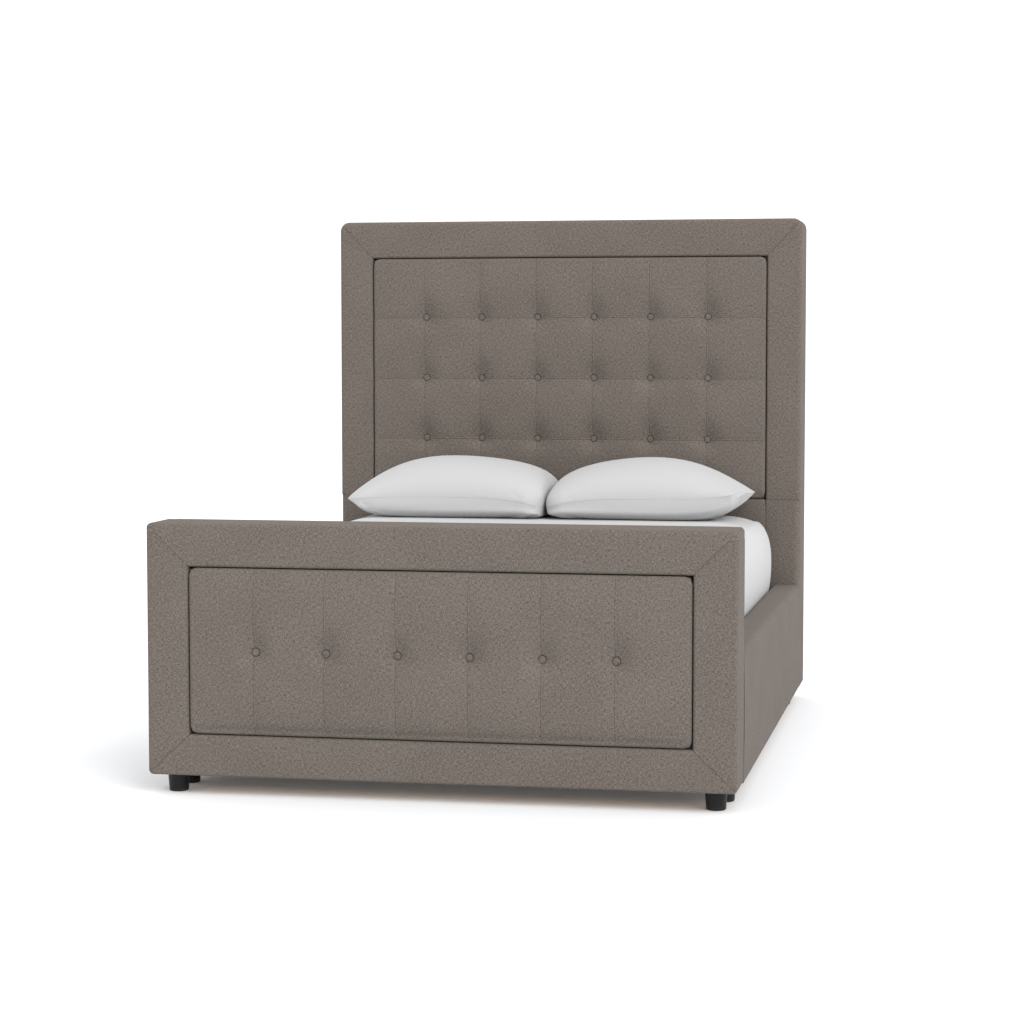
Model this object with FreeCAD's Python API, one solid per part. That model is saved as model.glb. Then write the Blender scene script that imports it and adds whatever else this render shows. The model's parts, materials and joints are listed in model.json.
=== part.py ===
"""Upholstered queen bed with a tall button-tufted headboard and a tufted footboard.

Millimetres. +Z is up, the foot of the bed is towards -Y and the head towards +Y.
The origin is on the floor under the middle of the bed, and left means -X.
Both end boards are built alike: a timber frame, a padded border wrapped round it, and
a tufted panel that stands in the border's recess on its own plywood board.
"""
import FreeCAD
import Part
import math
import os

# Driving dimensions of the whole bed
WIDTH = 1770.0
LENGTH = 2450.0
SKIRT_Z = 59.5                 # underside of the upholstery, which is also the height of the feet
HEAD_TOP_Z = 1810.5
FOOT_TOP_Z = 816.5
HEAD_THICK = 206.0
FOOT_THICK = 187.0
PANEL_CROWN = 10.0             # how far the tufted pads stand out of the borders

# Borders round the tufted panels
BORDER_SIDE = 129.0
HEAD_BORDER_TOP = 138.0
FOOT_BORDER_TOP = 129.0
FOOT_BORDER_BOTTOM = 124.0
HEAD_PANEL_BOTTOM_Z = 763.8
PANEL_GAP = 2.5                # gap between pad and border, all round
PANEL_CORNER_R = 12.0
PANEL_EDGE_R = 10.0            # round the front of the tufted pad

# Rounding of the upholstered outlines: corners, front rim and back rim
HEAD_ROUND = (34.0, 12.0, 5.0)
FOOT_ROUND = (14.0, 8.0, 8.0)
RAIL_ROUND = 14.0

# Padding and boards
PAD_FRONT = 22.0
PAD_SIDE = 12.0
PAD_BACK_FOOT = 12.0           # on the footboard's mattress side
PAD_BACK_HEAD = 6.0
FRAME_BOARD = 18.0
TUFT_BOARD = 12.0
TUFT_BOARD_LAP = 40.0
LOWER_BOARD = 9.0
MIDDLE_RAIL_HIGH = 90.0

# Tufting
BUTTON_COLUMNS = 6
BUTTON_PITCH_X = 216.3
BUTTON_SHIFT = -6.0             # the columns stand a little left of the middle
FOOT_BUTTON_Z = 436.0
HEAD_BUTTON_Z = (986.1, 1216.9, 1446.8)
BUTTON_R = 12.0
BUTTON_HIGH = 6.0
BUTTON_DOME = 3.5              # rise of the domed top within that height
BUTTON_SEAT_GAP = 0.5
KNOT_R = 6.0
KNOT_HIGH = 2.0
TWINE_R = 1.5
TWINE_HOLE_R = 2.5

# Side rails
RAIL_THICK = 102.0
RAIL_TOP_Z = 444.2
RAIL_WALL = 12.0

# Mattress support
DECK_Z = 372.0                 # top of the slats
SLAT = (1560.0, 140.0, 19.0)
SLAT_COUNT = 9
LEDGER = (35.0, 40.0)
BEAM = (45.0, 80.0)
CENTRE_LEG = 45.0
CENTRE_LEG_Y = 450.0
GLIDE_HIGH = 15.0
GLIDE_STEM_R = 4.0
GLIDE_CLEARANCE = 0.05
GLIDE_STEM_LONG = 45.0
GLIDE_BORE_DEEP = 60.0

# Feet
FOOT_TOP_R = 33.0
FOOT_BOTTOM_R = 29.0
FOOT_X = 816.0
FOOT_INSET_Y = 81.0
RAIL_FOOT_X = 826.0
RAIL_FOOT_INSET_Y = 33.0
STUD_R = 4.0
STUD_LONG = 30.0
HOLE_R = 4.2                   # clearance holes for 8 mm studs and bolts
OVERRUN = 20.0                 # how far a cutting shape runs past what it cuts
TINY = 1e-6

# Mattress, its fitted sheet and the pillows
MATTRESS_HALF_WIDE = 770.0     # over the sheet
MATTRESS_LONG = 2022.0         # leaves room to lift past the headboard's tufted panel
MATTRESS_FOOT_GAP = 6.0
MATTRESS_TOP_Z = 714.0
SHEET = 1.5
MATTRESS_WALL = 24.0
SHEET_HEM = 110.0
PILLOW_HALF_WIDE = 368.0
PILLOW_HALF_DEEP = 251.0
PILLOW_X = 369.5
PILLOW_Y = 747.0
PILLOW_SEAM_Z = 793.0
PILLOW_TOP_Z = 935.0
PILLOW_BOTTOM_Z = 714.4
PILLOW_WALL = 8.0              # case and outer filling; the loft inside is left hollow

# Worked out from the above
HALF = WIDTH / 2
PANEL_HALF = HALF - BORDER_SIDE
FOOT_FACE_Y = -LENGTH / 2 + PANEL_CROWN
FOOT_INNER_Y = FOOT_FACE_Y + FOOT_THICK
HEAD_BACK_Y = LENGTH / 2
HEAD_FACE_Y = HEAD_BACK_Y - HEAD_THICK
RAIL_INNER_X = HALF - RAIL_THICK
SIDES = (("left", -1), ("right", 1))

os.makedirs("parts", exist_ok=True)


def vec(x, y, z):
    return FreeCAD.Vector(x, y, z)


def box(x, y, z):
    """A box from three (low, high) pairs, in either order."""
    low = [min(pair) for pair in (x, y, z)]
    size = [abs(pair[1] - pair[0]) for pair in (x, y, z)]
    return Part.makeBox(size[0], size[1], size[2], vec(*low))


def export(node, shape):
    """Write one sub-part, with coplanar faces joined up."""
    shape = shape.removeSplitter() if shape.ShapeType != "Compound" else shape
    shape.exportStep("parts/%s.step" % node)
    solids = len(shape.Solids)
    print("%-26s %2d solid(s) %10.1f cm3  valid %s" % (node, solids, shape.Volume / 1000, shape.isValid()))


def prism_xz(points, y_low, y_high):
    """A polygon drawn in the XZ plane, drawn out along Y."""
    corners = [vec(x, y_low, z) for x, z in points]
    face = Part.Face(Part.makePolygon(corners + corners[:1]))
    return face.extrude(vec(0, y_high - y_low, 0))


def along_y(shape, at):
    """The edges of a shape that lie in the plane Y = at."""
    return [e for e in shape.Edges if all(abs(v.Point.y - at) < TINY for v in e.Vertexes)]


def rounded_board(face_y, back_y, top_z, rounding):
    """The outer shape of an end board: rounded corners, softer round the front and back."""
    corner_r, front_r, back_r = rounding
    board = box((-HALF, HALF), (face_y, back_y), (SKIRT_Z, top_z))
    corners = []
    for e in board.Edges:
        a, b = e.Vertexes[0].Point, e.Vertexes[1].Point
        if abs(a.x - b.x) < TINY and abs(a.z - b.z) < TINY and a.z > SKIRT_Z + 1:
            corners.append(e)
    board = board.makeFillet(corner_r, corners)
    rim = [e for e in along_y(board, face_y) if e.BoundBox.ZMax > SKIRT_Z + 1]
    board = board.makeFillet(front_r, rim)
    rim = [e for e in along_y(board, back_y) if e.BoundBox.ZMax > SKIRT_Z + 1]
    return board.makeFillet(back_r, rim)


def rounded_box(half_x, y, z, upright_r, top_r, bottom_r):
    """A mattress-like block with rounded uprights, top edges and bottom edges."""
    block = box((-half_x, half_x), y, z)
    uprights = [e for e in block.Edges if e.BoundBox.ZLength > e.BoundBox.DiagonalLength - 1e-3]
    block = block.makeFillet(upright_r, uprights)
    if top_r:
        block = block.makeFillet(top_r, [e for e in block.Edges if e.BoundBox.ZMin > z[1] - 1e-3])
    if bottom_r:
        block = block.makeFillet(bottom_r, [e for e in block.Edges if e.BoundBox.ZMax < z[0] + 1e-3])
    return block


def peg(start, direction, radius, length):
    return Part.makeCylinder(radius, length, start, direction)


def bolt(seat, direction, grip):
    """A hex-headed bolt whose head bears on seat and whose shank passes through grip."""
    points = []
    across_corners_r = 7.5
    head = 5.0
    for k in range(6):
        turn = math.radians(60 * k)
        points.append(vec(across_corners_r * math.cos(turn), across_corners_r * math.sin(turn), 0))
    hexagon = Part.Face(Part.makePolygon(points + points[:1])).extrude(vec(0, 0, -head))
    shank = Part.makeCylinder(STUD_R, grip + 8)
    whole = hexagon.fuse(shank)
    whole.Placement = FreeCAD.Placement(seat, FreeCAD.Rotation(vec(0, 0, 1), direction))
    return whole


# ---------------------------------------------------------------- feet
def foot(x, y):
    """A tapered round foot with a threaded stud that screws up into the frame."""
    edge = 5.0
    slope = (FOOT_TOP_R - FOOT_BOTTOM_R) / SKIRT_Z
    wall_r = FOOT_BOTTOM_R + slope * edge
    bend = math.sqrt(0.5) * edge
    points = [
        Part.LineSegment(vec(0, 0, 0), vec(FOOT_BOTTOM_R - edge, 0, 0)),
        Part.Arc(vec(FOOT_BOTTOM_R - edge, 0, 0), vec(wall_r - edge + bend, 0, edge - bend),
                 vec(wall_r, 0, edge)),
        Part.LineSegment(vec(wall_r, 0, edge), vec(FOOT_TOP_R, 0, SKIRT_Z)),
        Part.LineSegment(vec(FOOT_TOP_R, 0, SKIRT_Z), vec(STUD_R, 0, SKIRT_Z)),
        Part.LineSegment(vec(STUD_R, 0, SKIRT_Z), vec(STUD_R, 0, SKIRT_Z + STUD_LONG)),
        Part.LineSegment(vec(STUD_R, 0, SKIRT_Z + STUD_LONG), vec(0, 0, SKIRT_Z + STUD_LONG)),
        Part.LineSegment(vec(0, 0, SKIRT_Z + STUD_LONG), vec(0, 0, 0)),
    ]
    outline = Part.Wire([p.toShape() for p in points])
    solid = Part.Face(outline).revolve(vec(0, 0, 0), vec(0, 0, 1), 360)
    solid = Part.Solid(Part.Shell(solid.Faces))
    solid.translate(vec(x, y, 0))
    return solid


def stud_hole(x, y):
    return peg(vec(x, y, SKIRT_Z - 1), vec(0, 0, 1), HOLE_R, STUD_LONG + 4)


# ---------------------------------------------------------------- end boards
class EndBoard:
    """The heights and depths that the headboard and the footboard share the use of."""

    def __init__(self, name, face_y, back_y, top_z, pad_back, border_top, panel_bottom_z):
        self.name = name
        self.face_y = face_y
        self.back_y = back_y
        self.top_z = top_z
        self.wood_top_z = top_z - PAD_SIDE
        self.panel_z = (panel_bottom_z, top_z - border_top)
        self.wood_y = face_y + PAD_FRONT                 # front of the timber
        self.tuft_y = self.wood_y + FRAME_BOARD          # front of the tufting board
        self.wood_back_y = back_y - pad_back             # back of the timber
        self.cover_y = back_y - pad_back                 # where the back cover starts

    def post(self, side):
        """A channel of three boards: front, outer side and back."""
        outer = HALF - PAD_SIDE
        height = (SKIRT_Z, self.wood_top_z)
        front = box((PANEL_HALF, outer), (self.wood_y, self.tuft_y), height)
        cheek = box((outer - FRAME_BOARD, outer), (self.wood_y, self.wood_back_y), height)
        back = box((PANEL_HALF, outer), (self.wood_back_y - FRAME_BOARD, self.wood_back_y), height)
        channel = front.fuse([cheek, back])
        return channel if side > 0 else channel.mirror(vec(0, 0, 0), vec(1, 0, 0))

    def cross_rail(self, front_z, shelf_z):
        """An L of two boards: a front strip between the posts and a shelf behind it."""
        inner = HALF - PAD_SIDE - FRAME_BOARD
        strip = box((-PANEL_HALF, PANEL_HALF), (self.wood_y, self.tuft_y), front_z)
        shelf = box((-inner, inner), (self.tuft_y, self.wood_back_y - FRAME_BOARD), shelf_z)
        web = box((-PANEL_HALF, PANEL_HALF), (self.tuft_y - 1, self.tuft_y), shelf_z)
        return strip.fuse([shelf, web])

    def tuft_board(self):
        half = PANEL_HALF + TUFT_BOARD_LAP
        z = (self.panel_z[0] - TUFT_BOARD_LAP, self.panel_z[1] + TUFT_BOARD_LAP)
        return box((-half, half), (self.tuft_y, self.tuft_y + TUFT_BOARD), z)

    def tufted_pad(self):
        """The foam and fabric of the panel, with rounded front edges."""
        half = PANEL_HALF - PANEL_GAP
        front = self.face_y - PANEL_CROWN
        z = (self.panel_z[0] + PANEL_GAP, self.panel_z[1] - PANEL_GAP)
        pad = box((-half, half), (front, self.tuft_y), z)
        pad = pad.makeFillet(PANEL_CORNER_R, [e for e in pad.Edges if e.BoundBox.YLength > PAD_FRONT])
        return pad.makeFillet(PANEL_EDGE_R, along_y(pad, front))

    def recess(self):
        """The opening in the border that the pad stands in."""
        return box((-PANEL_HALF, PANEL_HALF), (self.face_y - OVERRUN, self.tuft_y), self.panel_z)

    def padding(self, outer):
        """The foam and cover round the timber: the outer shape less the timber's envelope."""
        inner = HALF - PAD_SIDE
        timber = box((-inner, inner), (self.wood_y, self.wood_back_y), (SKIRT_Z - 1, self.wood_top_z))
        return outer.cut([timber, self.recess()])


def tuft_points(rows):
    """Button centres as (x, z) pairs, evenly spaced across the panel."""
    middle = (BUTTON_COLUMNS - 1) / 2
    columns = [(k - middle) * BUTTON_PITCH_X + BUTTON_SHIFT for k in range(BUTTON_COLUMNS)]
    return [(x, z) for z in rows for x in columns]


def button(x, z, board):
    """A covered button with a domed top, and the knotted twine that pulls it to the board.

    Half its outline is turned about the Y axis: the dome is an arc, and the twine and the
    knot are straight steps behind it.
    """
    seat = board.face_y - PANEL_CROWN + BUTTON_HIGH
    front = seat - BUTTON_HIGH
    dome_r = (BUTTON_R ** 2 + BUTTON_DOME ** 2) / (2 * BUTTON_DOME)
    midway = math.asin(BUTTON_R / dome_r) / 2
    knot = board.tuft_y + TUFT_BOARD
    tip = vec(0, front, 0)
    on_dome = vec(dome_r * math.sin(midway), front + dome_r * (1 - math.cos(midway)), 0)
    rim = vec(BUTTON_R, front + BUTTON_DOME, 0)
    steps = [rim, vec(BUTTON_R, seat, 0), vec(TWINE_R, seat, 0), vec(TWINE_R, knot, 0), vec(KNOT_R, knot, 0),
             vec(KNOT_R, knot + KNOT_HIGH, 0), vec(0, knot + KNOT_HIGH, 0), tip]
    edges = [Part.Arc(tip, on_dome, rim).toShape()]
    edges += [Part.LineSegment(a, b).toShape() for a, b in zip(steps, steps[1:])]
    turned = Part.Face(Part.Wire(edges)).revolve(vec(0, 0, 0), vec(0, 1, 0), 360)
    solid = Part.Solid(Part.Shell(turned.Faces))
    if solid.Volume < 0:
        solid.reverse()
    solid.translate(vec(x, 0, z))
    return solid


def pull_in(pad, board, points):
    """Sink a seat for each button and pass its twine through pad and board."""
    seats = []
    holes = []
    for x, z in points:
        front = vec(x, board.face_y - PANEL_CROWN - 1, z)
        seats.append(peg(front, vec(0, 1, 0), BUTTON_R + BUTTON_SEAT_GAP, BUTTON_HIGH + 1))
        holes.append(peg(front, vec(0, 1, 0), TWINE_HOLE_R, board.tuft_y + TUFT_BOARD + OVERRUN - front.y))
    return pad.cut(seats + holes), board.tuft_board().cut(holes)


def mitred(board, which):
    """The wedge of space that belongs to one border strip, split along the mitre seams."""
    reach = 1.4
    low, high = board.panel_z
    top = (board.top_z - high) * reach
    bottom = (low - SKIRT_Z) * reach
    side = BORDER_SIDE * reach
    mitred_foot = board.name == "footboard"
    low_out = low - bottom if mitred_foot else low
    if which == "top":
        shape = [(-PANEL_HALF, high), (PANEL_HALF, high), (PANEL_HALF + side, high + top),
                 (-PANEL_HALF - side, high + top)]
    elif which == "bottom":
        shape = [(-PANEL_HALF, low), (PANEL_HALF, low), (PANEL_HALF + side, low - bottom),
                 (-PANEL_HALF - side, low - bottom)]
    else:
        sign = -1 if which == "left" else 1
        shape = [(sign * PANEL_HALF, low), (sign * PANEL_HALF, high),
                 (sign * (PANEL_HALF + side), high + top), (sign * (PANEL_HALF + side), low_out)]
    return prism_xz(shape, board.face_y - OVERRUN, board.cover_y)


HEAD = EndBoard("headboard", HEAD_FACE_Y, HEAD_BACK_Y, HEAD_TOP_Z, PAD_BACK_HEAD,
                HEAD_BORDER_TOP, HEAD_PANEL_BOTTOM_Z)
FOOTB = EndBoard("footboard", FOOT_FACE_Y, FOOT_INNER_Y, FOOT_TOP_Z, PAD_BACK_FOOT,
                 FOOT_BORDER_TOP, SKIRT_Z + FOOT_BORDER_BOTTOM)

# ---------------------------------------------------------------- rail brackets and their bolts
BRACKET_LEG = 60.0
BRACKET_THICK = 4.0
BRACKET_Z = (130.0, 270.0)
BOLT_Z = (160.0, 240.0)
BOARD_BOLT_X = RAIL_INNER_X - 15
RAIL_BOLT_REACH = 35.0

brackets = []
bolts = []
bracket_holes = []
for _, sign in SIDES:
    for board_y, inward, pad in ((FOOT_INNER_Y, 1, PAD_BACK_FOOT), (HEAD_FACE_Y, -1, PAD_FRONT)):
        rail_x = sign * RAIL_INNER_X
        on_board = box((rail_x, rail_x - sign * BRACKET_LEG), (board_y, board_y + inward * BRACKET_THICK),
                       BRACKET_Z)
        on_rail = box((rail_x, rail_x - sign * BRACKET_THICK), (board_y, board_y + inward * BRACKET_LEG),
                      BRACKET_Z)
        holes = []
        for z in BOLT_Z:
            seat = vec(sign * BOARD_BOLT_X, board_y + inward * BRACKET_THICK, z)
            way = vec(0, -inward, 0)
            grip = BRACKET_THICK + pad + FRAME_BOARD
            bolts.append(bolt(seat, way, grip))
            holes.append(peg(seat - way * 2, way, HOLE_R, grip + 12))
            seat = vec(rail_x - sign * BRACKET_THICK, board_y + inward * RAIL_BOLT_REACH, z)
            way = vec(sign, 0, 0)
            grip = BRACKET_THICK + PAD_SIDE + RAIL_WALL
            bolts.append(bolt(seat, way, grip))
            holes.append(peg(seat - way * 2, way, HOLE_R, grip + 12))
        brackets.append(on_board.fuse(on_rail).cut(holes))
        bracket_holes += holes
export("rail_brackets", Part.makeCompound(brackets))
export("bracket_bolts", Part.makeCompound(bolts))

# ---------------------------------------------------------------- feet
main_feet = {}
for name, y in (("footboard", FOOT_FACE_Y + FOOT_INSET_Y), ("headboard", HEAD_BACK_Y - FOOT_INSET_Y)):
    main_feet[name] = [stud_hole(sign * FOOT_X, y) for _, sign in SIDES]
    for side, sign in SIDES:
        export("%s_foot_%s" % (name, side), foot(sign * FOOT_X, y))
rail_feet = []
rail_stud_holes = []
for _, sign in SIDES:
    for y in (FOOT_INNER_Y + RAIL_FOOT_INSET_Y, HEAD_FACE_Y - RAIL_FOOT_INSET_Y):
        rail_feet.append(foot(sign * RAIL_FOOT_X, y))
        rail_stud_holes.append(stud_hole(sign * RAIL_FOOT_X, y))
export("rail_feet", Part.makeCompound(rail_feet))

# ---------------------------------------------------------------- headboard
head_outer = rounded_board(HEAD.face_y, HEAD.back_y, HEAD.top_z, HEAD_ROUND)
head_padding = HEAD.padding(head_outer)
head_low_z, head_high_z = HEAD.panel_z
for side, sign in SIDES:
    export("headboard_post_" + side, HEAD.post(sign).cut(bracket_holes))
export("headboard_top_rail", HEAD.cross_rail((head_high_z, HEAD.wood_top_z),
                                             (HEAD.wood_top_z - FRAME_BOARD, HEAD.wood_top_z)))
middle_z = head_low_z - MIDDLE_RAIL_HIGH
export("headboard_middle_rail", HEAD.cross_rail((middle_z, head_low_z), (middle_z, middle_z + FRAME_BOARD)))
bottom_rail_top = SKIRT_Z + BORDER_SIDE - PAD_SIDE
bottom_rail = HEAD.cross_rail((SKIRT_Z, bottom_rail_top), (SKIRT_Z, SKIRT_Z + FRAME_BOARD))
export("headboard_bottom_rail", bottom_rail.cut(main_feet["headboard"]))
export("headboard_lower_board", box((-PANEL_HALF, PANEL_HALF), (HEAD.wood_y, HEAD.wood_y + LOWER_BOARD),
                                    (bottom_rail_top, middle_z)))
points = tuft_points(HEAD_BUTTON_Z)
pad, tuft_board = pull_in(HEAD.tufted_pad(), HEAD, points)
export("headboard_tufted_panel", pad)
export("headboard_tuft_board", tuft_board)
export("headboard_buttons", Part.makeCompound([button(x, z, HEAD) for x, z in points]))
for which in ("top", "left", "right"):
    export("headboard_border_" + which, head_padding.common(mitred(HEAD, which)))
for side, sign in SIDES:
    region = box((sign * PANEL_HALF, sign * (HALF + OVERRUN)), (HEAD.face_y - OVERRUN, HEAD.cover_y),
                 (SKIRT_Z - OVERRUN, head_low_z))
    export("headboard_lower_" + side, head_padding.common(region).cut(bracket_holes))
region = box((-PANEL_HALF, PANEL_HALF), (HEAD.face_y - OVERRUN, HEAD.cover_y),
             (SKIRT_Z - OVERRUN, head_low_z))
export("headboard_lower_panel", head_padding.common(region))
beyond = HALF + OVERRUN
slab = box((-beyond, beyond), (HEAD.cover_y, HEAD.back_y + OVERRUN), (0, HEAD.top_z + OVERRUN))
export("headboard_back_cover", head_outer.common(slab))

# ---------------------------------------------------------------- footboard
foot_outer = rounded_board(FOOTB.face_y, FOOTB.back_y, FOOTB.top_z, FOOT_ROUND)
foot_padding = FOOTB.padding(foot_outer)
foot_low_z, foot_high_z = FOOTB.panel_z
for side, sign in SIDES:
    export("footboard_post_" + side, FOOTB.post(sign).cut(bracket_holes))
export("footboard_top_rail", FOOTB.cross_rail((foot_high_z, FOOTB.wood_top_z),
                                              (FOOTB.wood_top_z - FRAME_BOARD, FOOTB.wood_top_z)))
bottom_rail = FOOTB.cross_rail((SKIRT_Z, foot_low_z), (SKIRT_Z, SKIRT_Z + FRAME_BOARD))
export("footboard_bottom_rail", bottom_rail.cut(main_feet["footboard"]))
points = tuft_points((FOOT_BUTTON_Z,))
pad, tuft_board = pull_in(FOOTB.tufted_pad(), FOOTB, points)
export("footboard_tufted_panel", pad)
export("footboard_tuft_board", tuft_board)
export("footboard_buttons", Part.makeCompound([button(x, z, FOOTB) for x, z in points]))
for which in ("top", "bottom", "left", "right"):
    export("footboard_border_" + which, foot_padding.common(mitred(FOOTB, which)))
slab = box((-beyond, beyond), (FOOTB.cover_y, FOOTB.back_y + OVERRUN), (0, FOOTB.top_z + OVERRUN))
export("footboard_back_cover", foot_outer.common(slab).cut(bracket_holes))

# ---------------------------------------------------------------- side rails
RAIL_Y = (FOOT_INNER_Y, HEAD_FACE_Y)
core_x = (RAIL_INNER_X + PAD_SIDE, HALF - PAD_SIDE)
core_top = RAIL_TOP_Z - PAD_SIDE
for side, sign in SIDES:
    beam = box([sign * x for x in core_x], RAIL_Y, (SKIRT_Z, core_top))
    hollow = box([sign * (core_x[0] + RAIL_WALL), sign * (core_x[1] - RAIL_WALL)], RAIL_Y,
                 (SKIRT_Z + RAIL_WALL, core_top - RAIL_WALL))
    holes = bracket_holes + rail_stud_holes
    export("rail_beam_" + side, beam.cut([hollow] + holes))
    cover = box((sign * RAIL_INNER_X, sign * HALF), RAIL_Y, (SKIRT_Z, RAIL_TOP_Z))
    ridge = [e for e in cover.Edges if e.BoundBox.YLength > 1000 and e.BoundBox.ZMin > RAIL_TOP_Z - 1]
    cover = cover.makeFillet(RAIL_ROUND, ridge)
    export("rail_cover_" + side, cover.cut([beam] + holes))
    ledger_x = [sign * x for x in (RAIL_INNER_X - LEDGER[0], RAIL_INNER_X)]
    ledger_top = DECK_Z - SLAT[2]
    export("slat_ledger_" + side, box(ledger_x, (RAIL_Y[0] + 10, RAIL_Y[1] - 10),
                                      (ledger_top - LEDGER[1], ledger_top)))

# ---------------------------------------------------------------- slats
first = RAIL_Y[0] + 10 + SLAT[1] / 2
pitch = (RAIL_Y[1] - RAIL_Y[0] - 20 - SLAT[1]) / (SLAT_COUNT - 1)
for k in range(SLAT_COUNT):
    y = first + k * pitch
    slat = box((-SLAT[0] / 2, SLAT[0] / 2), (y - SLAT[1] / 2, y + SLAT[1] / 2), (DECK_Z - SLAT[2], DECK_Z))
    export("slat_%d" % (k + 1), slat.makeFillet(3.0, [e for e in slat.Edges if e.BoundBox.XLength > 1000]))

# ---------------------------------------------------------------- centre beam and its legs
beam_z = (DECK_Z - SLAT[2] - BEAM[1], DECK_Z - SLAT[2])
PLATE = 3.0
beam_y = (RAIL_Y[0] + PLATE, RAIL_Y[1] - PLATE)
export("centre_beam", box((-BEAM[0] / 2, BEAM[0] / 2), beam_y, beam_z))
hangers = []
for face, inward in ((RAIL_Y[0], 1), (RAIL_Y[1], -1)):
    half = BEAM[0] / 2
    reach = (face + inward * PLATE, face + inward * 50)
    plate = box((-half - 25, half + 25), (face, face + inward * PLATE), (beam_z[0] - PLATE, beam_z[1]))
    shelf = box((-half - PLATE, half + PLATE), reach, (beam_z[0] - PLATE, beam_z[0]))
    cheeks = [box((sign * half, sign * (half + PLATE)), reach, (beam_z[0] - PLATE, beam_z[0] + 60))
              for _, sign in SIDES]
    hangers.append(plate.fuse([shelf] + cheeks))
export("beam_hangers", Part.makeCompound(hangers))

glide_axis = vec(0, 0, 1)
for name, y in (("front", -CENTRE_LEG_Y), ("rear", CENTRE_LEG_Y)):
    half = CENTRE_LEG / 2
    leg = box((-half, half), (y - half, y + half), (GLIDE_HIGH, beam_z[0]))
    leg = leg.makeFillet(3.0, [e for e in leg.Edges if e.BoundBox.ZLength > 100])
    bore = peg(vec(0, y, GLIDE_HIGH - 1), glide_axis, GLIDE_STEM_R + GLIDE_CLEARANCE, GLIDE_BORE_DEEP + 1)
    export("centre_leg_" + name, leg.cut(bore))
    pad_r, pad_high = 18.0, 5.0
    neck_r = 9.0
    disc = Part.makeCylinder(pad_r, pad_high, vec(0, y, 0), glide_axis)
    disc = disc.makeFillet(1.5, [e for e in disc.Edges if e.BoundBox.ZMax > pad_high - 0.1 and e.Closed])
    neck = Part.makeCone(neck_r + 3, neck_r, GLIDE_HIGH - pad_high, vec(0, y, pad_high), glide_axis)
    stem = peg(vec(0, y, GLIDE_HIGH), glide_axis, GLIDE_STEM_R, GLIDE_STEM_LONG)
    export("levelling_glide_" + name, disc.fuse([neck, stem]))

# ---------------------------------------------------------------- mattress and fitted sheet
half = MATTRESS_HALF_WIDE - SHEET
foot_end = FOOT_INNER_Y + MATTRESS_FOOT_GAP
y_span = (foot_end + SHEET, foot_end + MATTRESS_LONG - SHEET)
z_span = (DECK_Z + SHEET, MATTRESS_TOP_Z - SHEET)
UPRIGHT_R, TOP_R, BOTTOM_R = 60.0, 45.0, 25.0
mattress = rounded_box(half, y_span, z_span, UPRIGHT_R, TOP_R, BOTTOM_R)
spring_space = rounded_box(half - MATTRESS_WALL,
                           (y_span[0] + MATTRESS_WALL, y_span[1] - MATTRESS_WALL),
                           (z_span[0] + MATTRESS_WALL, z_span[1] - MATTRESS_WALL),
                           UPRIGHT_R - MATTRESS_WALL / 2, 0, 0)
export("mattress", mattress.cut(spring_space))
over = rounded_box(half + SHEET, (y_span[0] - SHEET, y_span[1] + SHEET),
                   (z_span[0] - SHEET, z_span[1] + SHEET), UPRIGHT_R + SHEET, TOP_R + SHEET, BOTTOM_R + SHEET)
open_base = box((-half + SHEET_HEM, half - SHEET_HEM), (y_span[0] + SHEET_HEM, y_span[1] - SHEET_HEM),
                (z_span[0] - 10, z_span[0] + 10))
export("fitted_sheet", over.cut([mattress, open_base]))


# ---------------------------------------------------------------- pillows
def pillow_skin(x_mid, shrink, rise, side):
    """One face of a pillow, sewn to the other along a knife edge with pointed corners.

    The plan is a rectangle whose edges draw in between its corners. The height over the
    seam is rise * ((1 - u^2)(1 - v^2))^0.6, flattened where the underside lies down. The
    points are a B-spline's poles, so both faces have the very same edge.
    """
    spans = 12
    degree = 3
    draw_x, draw_y = 0.035, 0.05
    across = [math.sin(math.pi / 2 * (2 * k / spans - 1)) for k in range(spans + 1)]
    rows = []
    for u in across:
        row = []
        for v in across:
            crown = max((1 - u * u) * (1 - v * v), 0) ** 0.6
            if side < 0:
                crown = 1 - (1 - crown) ** 3
            x = x_mid + (PILLOW_HALF_WIDE - shrink) * u * (1 - draw_x * (1 - v * v))
            y = PILLOW_Y + (PILLOW_HALF_DEEP - shrink) * v * (1 - draw_y * (1 - u * u))
            row.append(vec(x, y, PILLOW_SEAM_Z + side * (rise - shrink) * crown))
        rows.append(row)
    knots = [float(k) for k in range(spans + 2 - degree)]
    repeats = [degree + 1] + [1] * (len(knots) - 2) + [degree + 1]
    surface = Part.BSplineSurface()
    surface.buildFromPolesMultsKnots(rows, repeats, repeats, knots, knots, False, False, degree, degree)
    return surface.toShape()


def pillow_form(x_mid, shrink):
    """A closed pillow, made smaller all round by shrink."""
    shell = Part.Shell([pillow_skin(x_mid, shrink, PILLOW_TOP_Z - PILLOW_SEAM_Z, 1),
                        pillow_skin(x_mid, shrink, PILLOW_SEAM_Z - PILLOW_BOTTOM_Z, -1)])
    shell.sewShape()
    solid = Part.Solid(shell)
    if solid.Volume < 0:
        solid.reverse()
    return solid


for side, sign in SIDES:
    casing = pillow_form(sign * PILLOW_X, 0)
    export("pillow_" + side, casing.cut(pillow_form(sign * PILLOW_X, PILLOW_WALL)))
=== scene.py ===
# %% [markdown]
# # An upholstered bed, dressed over its timber frame
# The frame model holds the timber, the plywood, the steel and the plain blocks that stand for foam.
# This script puts the looks on it: tufted panels, wrapped borders, rails, a mattress in its sheet and
# two pillows. Every length is in metres, x runs across the bed, y from foot to head, z upwards.

import json
import math

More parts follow.
